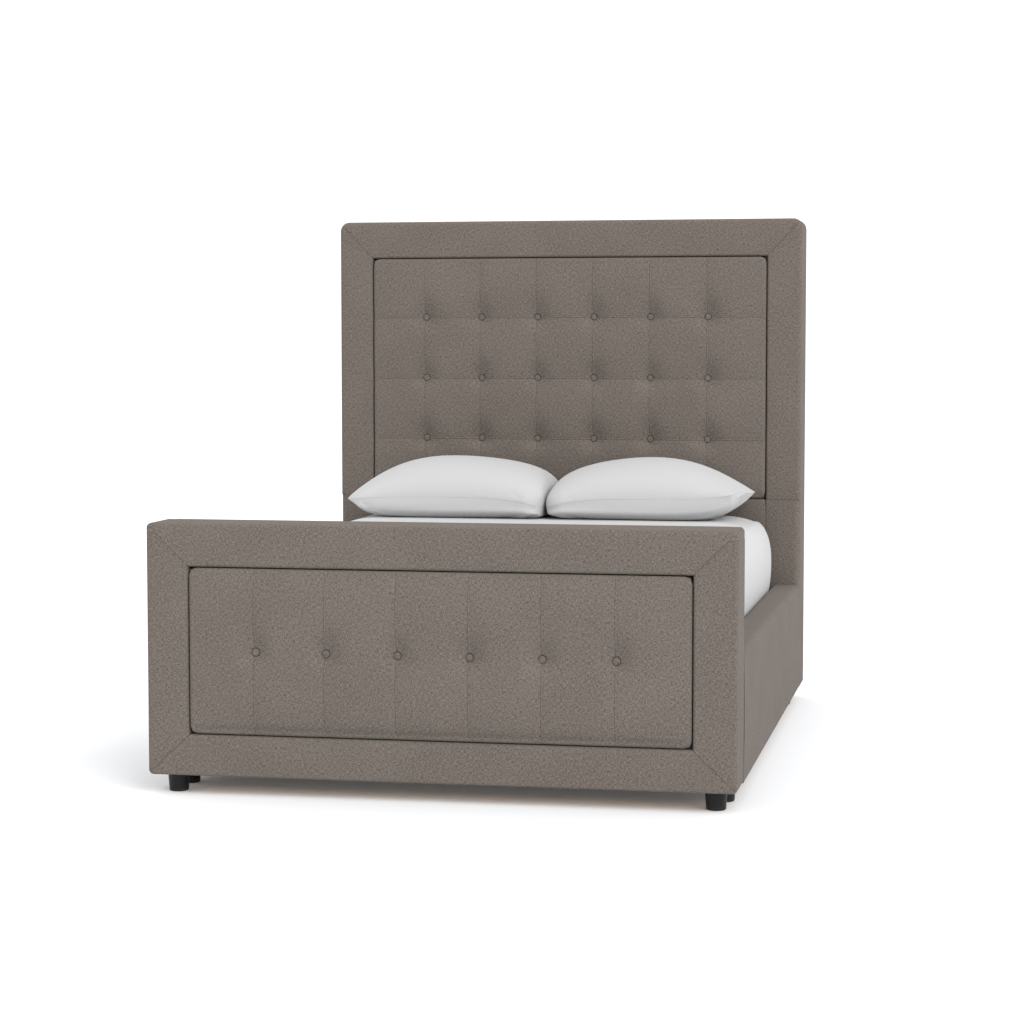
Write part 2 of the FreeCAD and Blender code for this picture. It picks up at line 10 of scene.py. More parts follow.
import bpy
import numpy as np
from mathutils import Euler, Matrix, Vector


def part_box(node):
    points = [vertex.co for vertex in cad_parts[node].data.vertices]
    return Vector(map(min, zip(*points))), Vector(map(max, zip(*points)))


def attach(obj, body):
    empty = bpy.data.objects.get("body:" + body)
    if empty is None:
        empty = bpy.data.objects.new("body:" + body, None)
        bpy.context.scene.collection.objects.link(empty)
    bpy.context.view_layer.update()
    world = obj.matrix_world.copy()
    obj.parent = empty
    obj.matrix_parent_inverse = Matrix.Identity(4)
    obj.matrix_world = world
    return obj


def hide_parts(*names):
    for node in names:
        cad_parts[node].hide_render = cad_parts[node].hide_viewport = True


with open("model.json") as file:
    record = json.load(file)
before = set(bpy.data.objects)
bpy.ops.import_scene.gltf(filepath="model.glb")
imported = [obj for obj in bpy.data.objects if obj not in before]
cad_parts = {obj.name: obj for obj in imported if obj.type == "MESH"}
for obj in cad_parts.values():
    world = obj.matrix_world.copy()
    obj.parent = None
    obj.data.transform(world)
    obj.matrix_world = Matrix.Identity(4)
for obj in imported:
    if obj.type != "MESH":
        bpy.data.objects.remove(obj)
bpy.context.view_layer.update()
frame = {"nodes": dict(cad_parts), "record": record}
MM = 0.001

# %% [markdown]
# ## Read the two end boards from the frame
# The headboard and the footboard are built alike: a border round a recess, and a tufted panel that
# stands in it. All of the padded pieces below need the same few planes, so one small class reads
# them from the boxes of the frame's nodes.

# %% Planes of an end board
PANEL_GAP = 2.5 * MM


class Board:
    """The planes of one end board. Its face looks towards the foot of the bed."""

    def __init__(self, name):
        border_low, border_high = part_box(name + "_border_right")
        cover_low, cover_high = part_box(name + "_back_cover")
        self.pad_low, self.pad_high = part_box(name + "_tufted_panel")
        self.name = name
        self.half = border_high.x
        self.face = border_low.y
        self.seam = cover_low.y
        self.back = cover_high.y
        self.low = cover_low.z
        self.top = cover_high.z
        self.open_x = self.pad_high.x + PANEL_GAP
        self.open_low = self.pad_low.z - PANEL_GAP
        self.open_high = self.pad_high.z + PANEL_GAP


HEAD = Board("headboard")
FOOT = Board("footboard")
print("headboard opening", round(2 * HEAD.open_x, 3), "by", round(HEAD.open_high - HEAD.open_low, 3))

# %% [markdown]
# ## From arrays to meshes
# Each padded piece is worked out as arrays of points. This helper makes them a mesh in one go, with
# a map in metres of cloth so that the weave follows the surface. It turns the faces outwards: the
# tetrahedra from the origin to each face add up to the volume, which is negative inside out.

# %% Mesh helpers
CLOTH_MAP = "cloth"
CREASE_ANGLE = math.radians(50)


def signed_volume(points, faces):
    """Sixth of the triple product over fan triangles of every face."""
    total = 0.0
    for block in faces:
        first = points[block[:, 0]]
        for k in range(1, block.shape[1] - 1):
            total += np.einsum("ij,ij->", first, np.cross(points[block[:, k]], points[block[:, k + 1]]))
    return total / 6


def build(name, points, cloth, faces):
    """A mesh object from points (n, 3), cloth places (n, 2) and blocks of faces (count, corners)."""
    centre = points.mean(0)
    if signed_volume(points - centre, faces) < 0:
        faces = [block[:, ::-1] for block in faces]
    corners = np.concatenate([block.ravel() for block in faces])
    sizes = np.concatenate([np.full(len(block), block.shape[1]) for block in faces])
    mesh = bpy.data.meshes.new(name)
    mesh.vertices.add(len(points))
    mesh.vertices.foreach_set("co", points.astype(np.float32).ravel())
    mesh.loops.add(len(corners))
    mesh.loops.foreach_set("vertex_index", corners.astype(np.int32))
    mesh.polygons.add(len(sizes))
    mesh.polygons.foreach_set("loop_start", (np.cumsum(sizes) - sizes).astype(np.int32))
    mesh.polygons.foreach_set("use_smooth", np.ones(len(sizes), bool))
    layer = mesh.uv_layers.new(name=CLOTH_MAP)
    layer.uv.foreach_set("vector", cloth[corners].astype(np.float32).ravel())
    mesh.update(calc_edges=True)
    mesh.validate()
    mesh.set_sharp_from_angle(angle=CREASE_ANGLE)
    obj = bpy.data.objects.new(name, mesh)
    bpy.context.scene.collection.objects.link(obj)
    return obj


def pack(*values):
    """Arrays of one shape side by side on a new last axis, as the x, y and z of points."""
    return np.stack(values, -1)


def rim_of(index):
    """The outer entries of a two-way array, once round."""
    return np.concatenate([index[0, :-1], index[:-1, -1], index[-1, :0:-1], index[:0:-1, 0]])


def grid_faces(index):
    """Quads between neighbouring entries of a two-way array of point numbers."""
    return pack(index[:-1, :-1], index[1:, :-1], index[1:, 1:], index[:-1, 1:]).reshape(-1, 4)


def smooth_step(t):
    """0 below 0, 1 above 1, and an S-shaped rise between."""
    t = np.clip(t, 0, 1)
    return t * t * (3 - 2 * t)


def bell(distance, width):
    """A bell curve of height 1: exp(-(distance / width)^2)."""
    return np.exp(-((distance / width) ** 2))


# %% [markdown]
# ## A padded face with a skirt
# Most soft parts of a bed are a face with rounded corners whose edge rolls back all round: the
# tufted panels, the backs of the boards, the mattress. They could be sculpted, but a grid for the
# face and a strip carried round its rim need only two short formulas, and the grid lines can be
# packed close together where a seam or a button needs them.

# %% Skirted pads
def round_corners(x, y, half_x, half_y, corner):
    """Square corners to round ones.

    (a, b) in a corner square goes to (a sqrt(1 - b^2/2), b sqrt(1 - a^2/2)).
    """
    a = np.clip((np.abs(x) - half_x + corner) / corner, 0, 1)
    b = np.clip((np.abs(y) - half_y + corner) / corner, 0, 1)
    moved_x = np.where(a > 0, half_x - corner + corner * a * np.sqrt(1 - b * b / 2), np.abs(x))
    moved_y = np.where(b > 0, half_y - corner + corner * b * np.sqrt(1 - a * a / 2), np.abs(y))
    return np.sign(x) * moved_x, np.sign(y) * moved_y


def skirted_pad(name, xs, ys, corner, height, skirt, place, closed=True):
    """A face over the grid xs by ys, centred on zero, with a skirt swept round its rim.

    height(x, y) is how far the face stands out. skirt is a list of (out, down): how far each row
    lies outside the rim and how far back. place(x, y, h) puts a point in the bed's frame. A closed
    pad ends in a fan to the middle of its back.
    """
    x, y = np.meshgrid(xs, ys, indexing="ij")
    half_x, half_y = xs[-1], ys[-1]
    x, y = round_corners(x, y, half_x, half_y, corner)
    index = np.arange(x.size).reshape(x.shape)
    rim = rim_of(index)
    rim_x, rim_y = x.ravel()[rim], y.ravel()[rim]
    out_x = np.sign(rim_x) * np.clip(np.abs(rim_x) - half_x + corner, 1e-9, None)
    out_y = np.sign(rim_y) * np.clip(np.abs(rim_y) - half_y + corner, 1e-9, None)
    size = np.hypot(out_x, out_y)
    out_x, out_y = out_x / size, out_y / size
    skirt = np.array(skirt)
    steps = np.hypot(*np.diff(np.vstack([[0, 0], skirt]), axis=0).T)
    length = np.cumsum(steps)[:, None]
    rim_height = height(rim_x, rim_y)
    skirt_x = rim_x + skirt[:, :1] * out_x
    skirt_y = rim_y + skirt[:, :1] * out_y
    skirt_h = rim_height * (1 - length / length[-1]) - skirt[:, 1:]
    points = np.concatenate([
        place(x.ravel(), y.ravel(), height(x, y).ravel()),
        place(skirt_x.ravel(), skirt_y.ravel(), skirt_h.ravel()),
    ])
    cloth = np.concatenate([
        pack(x.ravel(), y.ravel()),
        pack((rim_x + length * out_x).ravel(), (rim_y + length * out_y).ravel()),
    ])
    rings = np.vstack([rim, x.size + np.arange(skirt_x.size).reshape(skirt_x.shape)])
    rings = np.hstack([rings, rings[:, :1]])
    faces = [grid_faces(index), grid_faces(rings)[:, ::-1]]
    if closed:
        points = np.vstack([points, points[rings[-1, :-1]].mean(0)])
        cloth = np.vstack([cloth, [0, 0]])
        last = rings[-1]
        middle = np.full(len(last) - 1, len(points) - 1)
        faces.append(pack(last[1:], last[:-1], middle))
    return build(name, points, cloth, faces)


def ticks(low, high, centres, coarse, near):
    """Grid lines from low to high, coarse apart, with the offsets near repeated at each centre."""
    near = np.array(near)
    close = (np.array(centres)[:, None] + np.concatenate([-near[::-1], [0], near])).ravel()
    even = np.linspace(low, high, round((high - low) / coarse) + 1)
    gap = np.abs(even[:, None] - np.array(centres)).min(1)
    lines = np.concatenate([even[gap > near[-1] + coarse / 3], close, [low, high]])
    return np.unique(np.clip(np.round(lines, 6), low, high))


def quarter(radius_out, radius_back, steps=7):
    """(out, down) points of a quarter round that leaves a face level and ends square to it."""
    turn = np.linspace(0, math.pi / 2, steps + 1)[1:]
    return pack(radius_out * np.sin(turn), radius_back * (1 - np.cos(turn)))


# %% [markdown]
# ## Shader maths as plain arithmetic
# A material is a web of nodes. Wrapping each output socket in a small class lets its maths be
# written as sums and products: `1 - mask` adds a Math node set to subtract. The method `node` makes
# any other node from its type, its settings and the values or links of its sockets.

# %% The socket class
class Wire:
    """An output socket of a node in one material's tree."""

    def __init__(self, tree, socket=None):
        self.tree = tree
        self.socket = socket

    def node(self, kind, settings=None, inputs=None, output=0):
        """Add a node, set it up, then feed its sockets. Returns the wire of one output."""
        made = self.tree.nodes.new(kind)
        for key, value in (settings or {}).items():
            setattr(made, key, value)
        for key, value in (inputs or {}).items():
            if isinstance(value, Wire):
                self.tree.links.new(value.socket, made.inputs[key])
            else:
                made.inputs[key].default_value = value
        return Wire(self.tree, made.outputs[output])

    def maths(self, operation, *values):
        return self.node("ShaderNodeMath", {"operation": operation}, dict(enumerate(values)))

    def __add__(self, other):
        return self.maths("ADD", self, other)

    def __radd__(self, other):
        return self.maths("ADD", other, self)

    def __sub__(self, other):
        return self.maths("SUBTRACT", self, other)

    def __rsub__(self, other):
        return self.maths("SUBTRACT", other, self)

    def __mul__(self, other):
        return self.maths("MULTIPLY", self, other)

    def __rmul__(self, other):
        return self.maths("MULTIPLY", other, self)

    def __truediv__(self, other):
        return self.maths("DIVIDE", self, other)


def start_material(name, **constants):
    """A material with one Principled shader, its fixed values set, and a wire with no socket yet."""
    material = bpy.data.materials.new(name)
    material.use_nodes = True
    tree = material.node_tree
    tree.nodes.clear()
    shader = tree.nodes.new("ShaderNodeBsdfPrincipled")
    out = tree.nodes.new("ShaderNodeOutputMaterial")
    tree.links.new(shader.outputs[0], out.inputs[0])
    for key, value in constants.items():
        shader.inputs[key.replace("_", " ")].default_value = value
    return material, Wire(tree), shader


def feed(wire, shader, **links):
    for key, value in links.items():
        wire.tree.links.new(value.socket, shader.inputs[key.replace("_", " ")])


def stretched(wire, places, scales, detail=1.0, roughness=0.5):
    """Noise of about 0 to 1, with so many grains per metre along each axis."""
    moved = wire.node("ShaderNodeVectorMath", {"operation": "MULTIPLY"}, {0: places, 1: scales})
    return wire.node("ShaderNodeTexNoise", {"noise_dimensions": "3D"},
                     {"Vector": moved, "Scale": 1.0, "Detail": detail, "Roughness": roughness})


def mixed(wire, factor, first, second):
    """A colour between two, by a factor."""
    settings = {"data_type": "RGBA", "clamp_factor": True}
    return wire.node("ShaderNodeMix", settings, {0: factor, 6: first, 7: second}, output=2)


def paint(obj, material):
    """Give an object one material."""
    obj.data.materials.clear()
    obj.data.materials.append(material)


def emboss(wire, shader, height, strength, depth):
    """Bump the surface by a height of about 0 to 1, which stands for depth in metres."""
    sockets = {"Strength": strength, "Distance": depth, "Height": height}
    feed(wire, shader, Normal=wire.node("ShaderNodeBump", {}, sockets))


def weave(wire, cloth, pitch):
    """A plain weave: a sine of the way across times a sine of the way along, with this pitch."""
    ways = [wire.node("ShaderNodeSeparateXYZ", inputs={0: cloth}, output=k) for k in (0, 1)]
    across, along = (wire.maths("SINE", way * (math.tau / pitch)) for way in ways)
    return across * along


def dress(obj, material, body, node):
    """Paint a piece and let it ride on a body in a node's place."""
    paint(obj, material)
    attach(obj, body)
    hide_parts(node)


# %% [markdown]
# ## The upholstery cloth
# The bed is covered in a taupe tweed: a plain weave of uneven yarn, with lighter and darker slubs
# along the warp and the weft. An image could show them, but two noises drawn out along the threads,
# on the cloth's own map in metres, never repeat. The weave and the slubs also feed the bump, and a
# little sheen gives the nap of the yarn at grazing angles.

# %% Tweed
SLUB_LONG = 110.0
SLUB_WIDE = 480.0
THREAD = 1.5 * MM
WARM_YARN = np.array([1.07, 1.0, 0.90])
COOL_YARN = np.array([0.93, 1.0, 1.10])


def tweed(name, dark, light):
    material, wire, shader = start_material(
        name, Roughness=0.95, Sheen_Weight=0.08, Sheen_Roughness=0.4, Specular_IOR_Level=0.0)
    cloth = wire.node("ShaderNodeUVMap", {"uv_map": CLOTH_MAP})
    weft = stretched(wire, cloth, (SLUB_LONG, SLUB_WIDE, 1), 2.0, 0.6)
    warp = stretched(wire, cloth, (SLUB_WIDE, SLUB_LONG, 1), 2.0, 0.6)
    fleck = stretched(wire, cloth, (400, 400, 1), 1.0)
    cloud = stretched(wire, cloth, (5, 5, 1), 2.0)
    yarn = (weft - 0.5) * 2.3 + (warp - 0.5) * 2.3 + (fleck - 0.5) * 1.2 + (cloud - 0.5) * 0.3 + 0.5
    dyed = stretched(wire, cloth, (220, 520, 9), 1.0) * 2.6 - 0.8
    pale = mixed(wire, dyed, tuple(light * WARM_YARN) + (1,), tuple(light * COOL_YARN) + (1,))
    feed(wire, shader, Base_Color=mixed(wire, yarn, (*dark, 1), pale))
    emboss(wire, shader, weave(wire, cloth, THREAD) * 0.5 + yarn, 0.35, 0.6 * MM)
    return material


TWEED = tweed("taupe_tweed", (0.080, 0.067, 0.058), np.array([0.185, 0.160, 0.140]))
print("tweed made, slubs about", round(1000 / SLUB_LONG), "mm long")

# %% [markdown]
# ## Border strips
# Each board's border is foam wrapped in cloth, sewn from strips whose ends meet in mitre seams. A
# strip is one closed profile carried along: up the wall of the recess, over a soft edge, across the
# face, round the outer edge and back to the rear seam. Its inner line follows the opening and its
# outer line the board's outline, so two strips share a round corner. Near each end the skin tucks
# in, which makes a sewn seam read as a line.

# %% Profile of a strip
FOAM_FRONT = 22 * MM
FOAM_SIDE = 12 * MM
BACK_ROLL = 4 * MM
FACE_SWELL = 1.5 * MM
SEAM_ROLL = 2 * MM
TUCK_EASES = 0.7
CORNER_REACH = 60 * MM
RECESS = 40 * MM
CLOTH = 0.7 * MM
LINING_TURN = 10 * MM
FACE_STEPS = np.linspace(0, math.pi, 14)[1:-1]


def strip_profile(width, depth, inner_round, outer_round, wraps, lined):
    """Closed outline of a strip in (across, back), and its outward directions where cloth shows.

    Across runs from the opening outwards, back from the face rearwards. A strip that wraps goes on
    round the outer side to the rear seam; one that doesn't is a plain slab. A lined strip's cloth
    also covers the wall of the recess and turns in under the tufted panel.
    """
    lead = np.linspace(0, math.pi / 2, 8)
    inner = pack(inner_round * (1 - np.cos(lead)), inner_round * (1 - np.sin(lead)))
    outer = pack(width - outer_round * (1 - np.sin(lead)), outer_round * (1 - np.cos(lead)))
    across = np.linspace(inner_round, width - outer_round, len(FACE_STEPS) + 2)[1:-1]
    face = pack(across, np.zeros_like(across))
    back = depth if wraps else FOAM_FRONT
    side = pack(np.full(7, width), np.linspace(outer_round, back - BACK_ROLL, 9)[1:-1])
    rear = pack(width - BACK_ROLL * (1 - np.cos(lead)), back - BACK_ROLL * (1 - np.sin(lead)))
    lining = [[-LINING_TURN, RECESS - CLOTH], [-CLOTH, RECESS - CLOTH], [-CLOTH, FOAM_FRONT],
              [0, inner_round * 2]]
    skin = np.vstack([lining if lined else [[0, FOAM_FRONT]], inner, face, outer, side, rear])
    ahead = np.gradient(skin, axis=0)
    outward = pack(ahead[:, 1], -ahead[:, 0])
    outward /= np.linalg.norm(outward, axis=1, keepdims=True)
    swell = np.zeros(len(skin))
    on_face = (skin[:, 1] == 0) & (skin[:, 0] > inner_round) & (skin[:, 0] < width - outer_round)
    swell[on_face] = FACE_SWELL * np.sin(FACE_STEPS)
    skin = skin + swell[:, None] * outward
    hidden = [[width - FOAM_SIDE, depth], [width - FOAM_SIDE, FOAM_FRONT]] if wraps else []
    hidden += [[0, FOAM_FRONT], [0, RECESS], [-LINING_TURN, RECESS]] if lined else []
    closed = np.vstack([skin, hidden]) if hidden else skin
    outward = np.vstack([outward, np.zeros((len(closed) - len(skin), 2))])
    return closed, outward


def end_steps(length, corner_reach):
    """Places from 0 to length, close together at both ends."""
    near = [np.arange(0, 6, 0.6), np.arange(6, 14, 2), np.arange(14, corner_reach / MM, 3)]
    near = np.concatenate(near) * MM
    middle = np.linspace(near[-1], length - near[-1], max(4, round(length / (40 * MM))))
    return np.concatenate([near[:-1], middle, length - near[:-1][::-1]]) / length


def border_strip(name, board, side, inner, outer, across, straight, corner, sizes, slant):
    """One sewn strip.

    side is "top", "bottom", "left" or "right". inner and outer are the (start, end) of its two long
    lines, along the strip, and across is (opening line, outline), outwards. The outline is level
    between the ends of straight and turns down a circle of radius corner past them. sizes goes to
    strip_profile. slant is, for each end, the distance from the seam over that along the strip.
    """
    width = across[1] - across[0]
    profile, outward = strip_profile(width, board.seam - board.face, *sizes)
    along = end_steps(outer[1] - outer[0], CORNER_REACH)[:, None]
    lean = profile[:, 0] / width
    inner_line = inner[0] + (inner[1] - inner[0]) * along
    outer_line = outer[0] + (outer[1] - outer[0]) * along
    long = (outer[1] - outer[0]) * lean + (inner[1] - inner[0]) * (1 - lean)
    fade = 1 - 0.5 * smooth_step((lean - TUCK_EASES) / (1 - TUCK_EASES))
    roll = 0
    for distance in (along * long * slant[0], (1 - along) * long * slant[1]):
        inside = np.clip(SEAM_ROLL - distance, 0, None)
        roll = roll + (SEAM_ROLL - np.sqrt(SEAM_ROLL ** 2 - inside ** 2)) * fade
    lean = lean - roll * outward[:, 0] / width
    back = profile[:, 1] - roll * outward[:, 1]
    excess = np.clip(np.maximum(straight[0] - outer_line, outer_line - straight[1]), 0, corner)
    outline = across[1] - corner + np.sqrt(corner ** 2 - excess ** 2)
    p = inner_line * (1 - lean) + outer_line * lean
    q = across[0] * (1 - lean) + outline * lean
    y = board.face + back
    x, z = {"top": (p, q), "bottom": (p, -q), "right": (q, p), "left": (-q, p)}[side]
    x, y, z = np.broadcast_arrays(x, y, z)
    points = pack(x, y, z)
    steps = np.linalg.norm(np.diff(profile, axis=0, prepend=profile[:1]), axis=1)
    cloth_q = np.broadcast_to(np.cumsum(steps), x.shape)
    cloth = pack(np.broadcast_to(p, x.shape), cloth_q)
    if side in ("left", "right"):
        cloth = cloth[..., ::-1]
    index = np.arange(x.size).reshape(x.shape)
    around = np.hstack([index, index[:, :1]])
    faces = [grid_faces(around), index[:1, ::-1], index[-1:, :]]
    return build(name, points.reshape(-1, 3), cloth.reshape(-1, 2), faces)


# %% Cut the strips of both boards
DIAGONAL = 1 - math.sqrt(0.5)
MITRE, SQUARE = 0.7, 1.0
EDGE = 9 * MM
UNDER_ROUND_FOOT = 8 * MM


def dress_board(board, corner, outer_round):
    """The strips over the top and down both sides, and under the footboard.

    The headboard's sides end in level seams, and the footboard's in mitres with its bottom strip.
    """
    mitred_foot = board.name == "footboard"
    sizes = (EDGE, outer_round, True, True)
    level = (corner - board.half, board.half - corner)
    far_x = board.half - corner * DIAGONAL
    far_top = board.top - corner * DIAGONAL
    low_end = board.low + corner * DIAGONAL if mitred_foot else board.open_low
    straight_from = board.low + corner if mitred_foot else low_end
    made = [border_strip(board.name + "_cover_top", board, "top", (-board.open_x, board.open_x),
                         (-far_x, far_x), (board.open_high, board.top), level, corner, sizes,
                         (MITRE, MITRE))]
    for side in ("left", "right"):
        made.append(border_strip(board.name + "_cover_" + side, board, side,
                                 (board.open_low, board.open_high), (low_end, far_top),
                                 (board.open_x, board.half), (straight_from, board.top - corner),
                                 corner, sizes, (MITRE if mitred_foot else SQUARE, MITRE)))
    if mitred_foot:
        made.append(border_strip(board.name + "_cover_bottom", board, "bottom",
                                 (-board.open_x, board.open_x), (-far_x, far_x),
                                 (-board.open_low, -board.low), level, corner,
                                 (EDGE, UNDER_ROUND_FOOT, False, True), (MITRE, MITRE)))
    return made


strips = dress_board(HEAD, 34 * MM, 14 * MM) + dress_board(FOOT, 14 * MM, 9 * MM)
for strip in strips:
    dress(strip, TWEED, "bed_frame", strip.name.replace("cover", "border"))
print("border strips:", [strip.name for strip in strips])

# %% [markdown]
# ## The plain lower part of the headboard
# Below the tufted panel the headboard is covered flat: two side strips down to the floor gap, and a
# centre panel between them, mostly hidden by the mattress. The side strips reuse the border's
# profile with a tight inner edge, so that they meet the centre panel in a sewn seam.

# %% Lower headboard
for side in ("left", "right"):
    span = (HEAD.low, HEAD.open_low)
    lower = border_strip("headboard_lower_cover_" + side, HEAD, side, span, span,
                         (HEAD.open_x, HEAD.half), span, EDGE, (4 * MM, 24 * MM, True, False),
                         (SQUARE, SQUARE))
    dress(lower, TWEED, "bed_frame", "headboard_lower_" + side)
    print(lower.name, "of", len(lower.data.polygons), "faces")

# %% Plain upright pads
PLAIN_GRID = 30 * MM
CHAMFER = 1 * MM


def upright(face_y, middle_z, facing=1):
    """A placer for pads that stand upright and look towards the foot of the bed, or the head at -1."""
    return lambda x, y, h: pack(x, face_y - facing * h, y + middle_z)


def upright_pad(name, node, corner, edge, deep, facing=1):
    """A plain padded slab that fills a node's box, with its edges rolled by edge."""
    low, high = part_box(node)
    half_x = (high.x - low.x) / 2 - edge
    half_z = (high.z - low.z) / 2 - edge
    xs = ticks(-half_x, half_x, [0], PLAIN_GRID, [PLAIN_GRID / 2])
    zs = ticks(-half_z, half_z, [0], PLAIN_GRID, [PLAIN_GRID / 2])
    skirt = np.vstack([quarter(edge, edge), [[edge, deep - CHAMFER], [edge - CHAMFER, deep]]])

    def height(x, z):
        return FACE_SWELL * (1 - (x / half_x) ** 4) * (1 - (z / half_z) ** 4)

    place = upright(low.y if facing > 0 else high.y, (high.z + low.z) / 2, facing)
    pad = skirted_pad(name, xs, zs, corner, height, skirt, place)
    dress(pad, TWEED, "bed_frame", node)
    print(name, "of", len(pad.data.polygons), "faces")


upright_pad("headboard_lower_centre", "headboard_lower_panel", 3 * MM, 4 * MM, 20 * MM)

# %% [markdown]
# ## The backs of the boards
# The footboard's inner side and the headboard's rear are each closed by one flat padded panel, sewn
# to the border all round. They are the same form as the centre panel, turned to face the head end.

# %% Back panels
upright_pad("headboard_rear_cover", "headboard_back_cover", 30 * MM, 4 * MM, 5.5 * MM, facing=-1)
upright_pad("footboard_rear_cover", "footboard_back_cover", 14 * MM, 8 * MM, 11.5 * MM, facing=-1)

# %% [markdown]
# ## Tufted panels
# A tufted panel is a thick pad pulled back at each button. The columns of buttons stand on seams with
# twin stitch lines, and on the headboard the rows do too. The whole face is one height field: a
# shallow valley and two fine grooves for each seam, a wider hollow along each row, and at each button
# a steep small pit inside a wide shallow one that runs further up the cloth than down, because the
# pad's own weight hangs there. Each depth below has a width beside it.

# %% Height of the tufted face
BUTTON_R = 12 * MM
COLUMNS = 6
TWIN = 3.4 * MM
STITCH_DEEP, STITCH_FAINT, STITCH_WIDE = 1.7 * MM, 0.9 * MM, 1.3 * MM
VALLEY_DEEP, VALLEY_WIDE = 1.8 * MM, 24 * MM
ROW_DEEP, ROW_WIDE = 2.5 * MM, 60 * MM
PIT_DEEP, PIT_WALL = 5 * MM, 3 * MM
PULL_DEEP, PULL_ACROSS, PULL_UP, PULL_DOWN = 21 * MM, 42 * MM, 62 * MM, 34 * MM
PLEATS, PLEAT_DEEP, PLEAT_AT, PLEAT_WIDE = 7, 0.5 * MM, 22 * MM, 9 * MM
FOOT_DEEP, FOOT_WIDE = 6 * MM, 22 * MM
EDGE_SUNK = 5 * MM


def seam_valley(offset):
    """Depth of a twin-stitched seam at an offset from its middle: two grooves in a shallow valley."""
    valley = VALLEY_DEEP * bell(offset, VALLEY_WIDE)
    stitches = STITCH_DEEP * bell(offset + TWIN, STITCH_WIDE)
    return valley + stitches + STITCH_FAINT * bell(offset - TWIN, STITCH_WIDE)


def tufting(columns, rows, cross_seams, half_x, half_z, swell):
    """The height function of a panel, from its button columns and rows and its swell in the middle."""
    def height(x, z):
        depth = 0.0
        for column in columns:
            depth = depth + seam_valley(x - column)
        for row in rows:
            if cross_seams:
                depth = depth + seam_valley(z - row) + ROW_DEEP * bell(z - row, ROW_WIDE)
            for column in columns:
                dx, dz = x - column, z - row
                round_off = np.hypot(dx, dz)
                pit = PIT_DEEP * (1 - smooth_step((round_off - BUTTON_R) / PIT_WALL))
                reach = np.where(dz > 0, PULL_UP, PULL_DOWN)
                pull = PULL_DEEP * bell(dx, PULL_ACROSS) * bell(dz, reach)
                fan = PLEAT_DEEP * np.cos(PLEATS * np.arctan2(dz, dx))
                depth = depth + pit + pull + fan * bell(round_off - PLEAT_AT, PLEAT_WIDE)
        crown = swell * (1 - (x / half_x) ** 6) * (1 - (z / half_z) ** 6) - EDGE_SUNK
        foot_roll = FOOT_DEEP * np.clip(1 - (z + half_z) / FOOT_WIDE, 0, 1) ** 2
        return crown - depth - foot_roll
    return height


# %% Make the panels
PAD_EDGE = 14 * MM
PAD_SHY = 0.8 * MM
PAD_CORNER = 5 * MM
PAD_GRID = 8 * MM
RIM_SUNK = 0.6 * PIT_DEEP
NEAR_SEAM = np.array([0.8, 1.6, 2.2, 2.8, 3.4, 4, 4.8, 6, 8, 9.8, 11, 12.2, 13.4, 14.6, 16, 19, 23,
                      28, 34]) * MM


def tufted_panel(board, row_count, swell):
    low, high = board.pad_low, board.pad_high
    buttons_low, buttons_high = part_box(board.name + "_buttons")
    columns = np.linspace(buttons_low.x + BUTTON_R, buttons_high.x - BUTTON_R, COLUMNS)
    rows = np.linspace(buttons_low.z + BUTTON_R, buttons_high.z - BUTTON_R, row_count)
    middle_z = (low.z + high.z) / 2
    half_x = high.x - PAD_EDGE - PAD_SHY
    half_z = (high.z - low.z) / 2 - PAD_EDGE - PAD_SHY
    xs = ticks(-half_x, half_x, columns, PAD_GRID, NEAR_SEAM)
    zs = ticks(-half_z, half_z, rows - middle_z, PAD_GRID, NEAR_SEAM)
    height = tufting(columns, rows - middle_z, row_count > 1, half_x, half_z, swell)
    deep = high.y - low.y
    skirt = np.vstack([quarter(PAD_EDGE, PAD_EDGE, 9), [[PAD_EDGE, 0.5 * deep], [PAD_EDGE, deep]]])
    pad = skirted_pad(board.name + "_tufted_cover", xs, zs, PAD_CORNER, height, skirt,
                      upright(low.y, middle_z))
    dress(pad, TWEED, "bed_frame", board.name + "_tufted_panel")
    surface = low.y - height(columns[:1], rows[:1] - middle_z)[0] - RIM_SUNK
    print(board.name, "panel:", len(pad.data.polygons), "faces, button rims at y", round(surface, 4))
    return columns, rows, surface


head_tufts = tufted_panel(HEAD, 3, 13 * MM)
foot_tufts = tufted_panel(FOOT, 1, 20 * MM)

# %% [markdown]
# ## Covered buttons
# Each button is a flat dome covered in the same cloth, gathered behind. The dome is a profile
# turned about the button's axis, with a small ripple near the rim where the cloth is gathered. All the
# buttons of a board are one array: buttons by rings by turns.

# %% Buttons
BUTTON_RISE = 4.2 * MM
BUTTON_SET = 1.2 * MM
GATHERS = 14


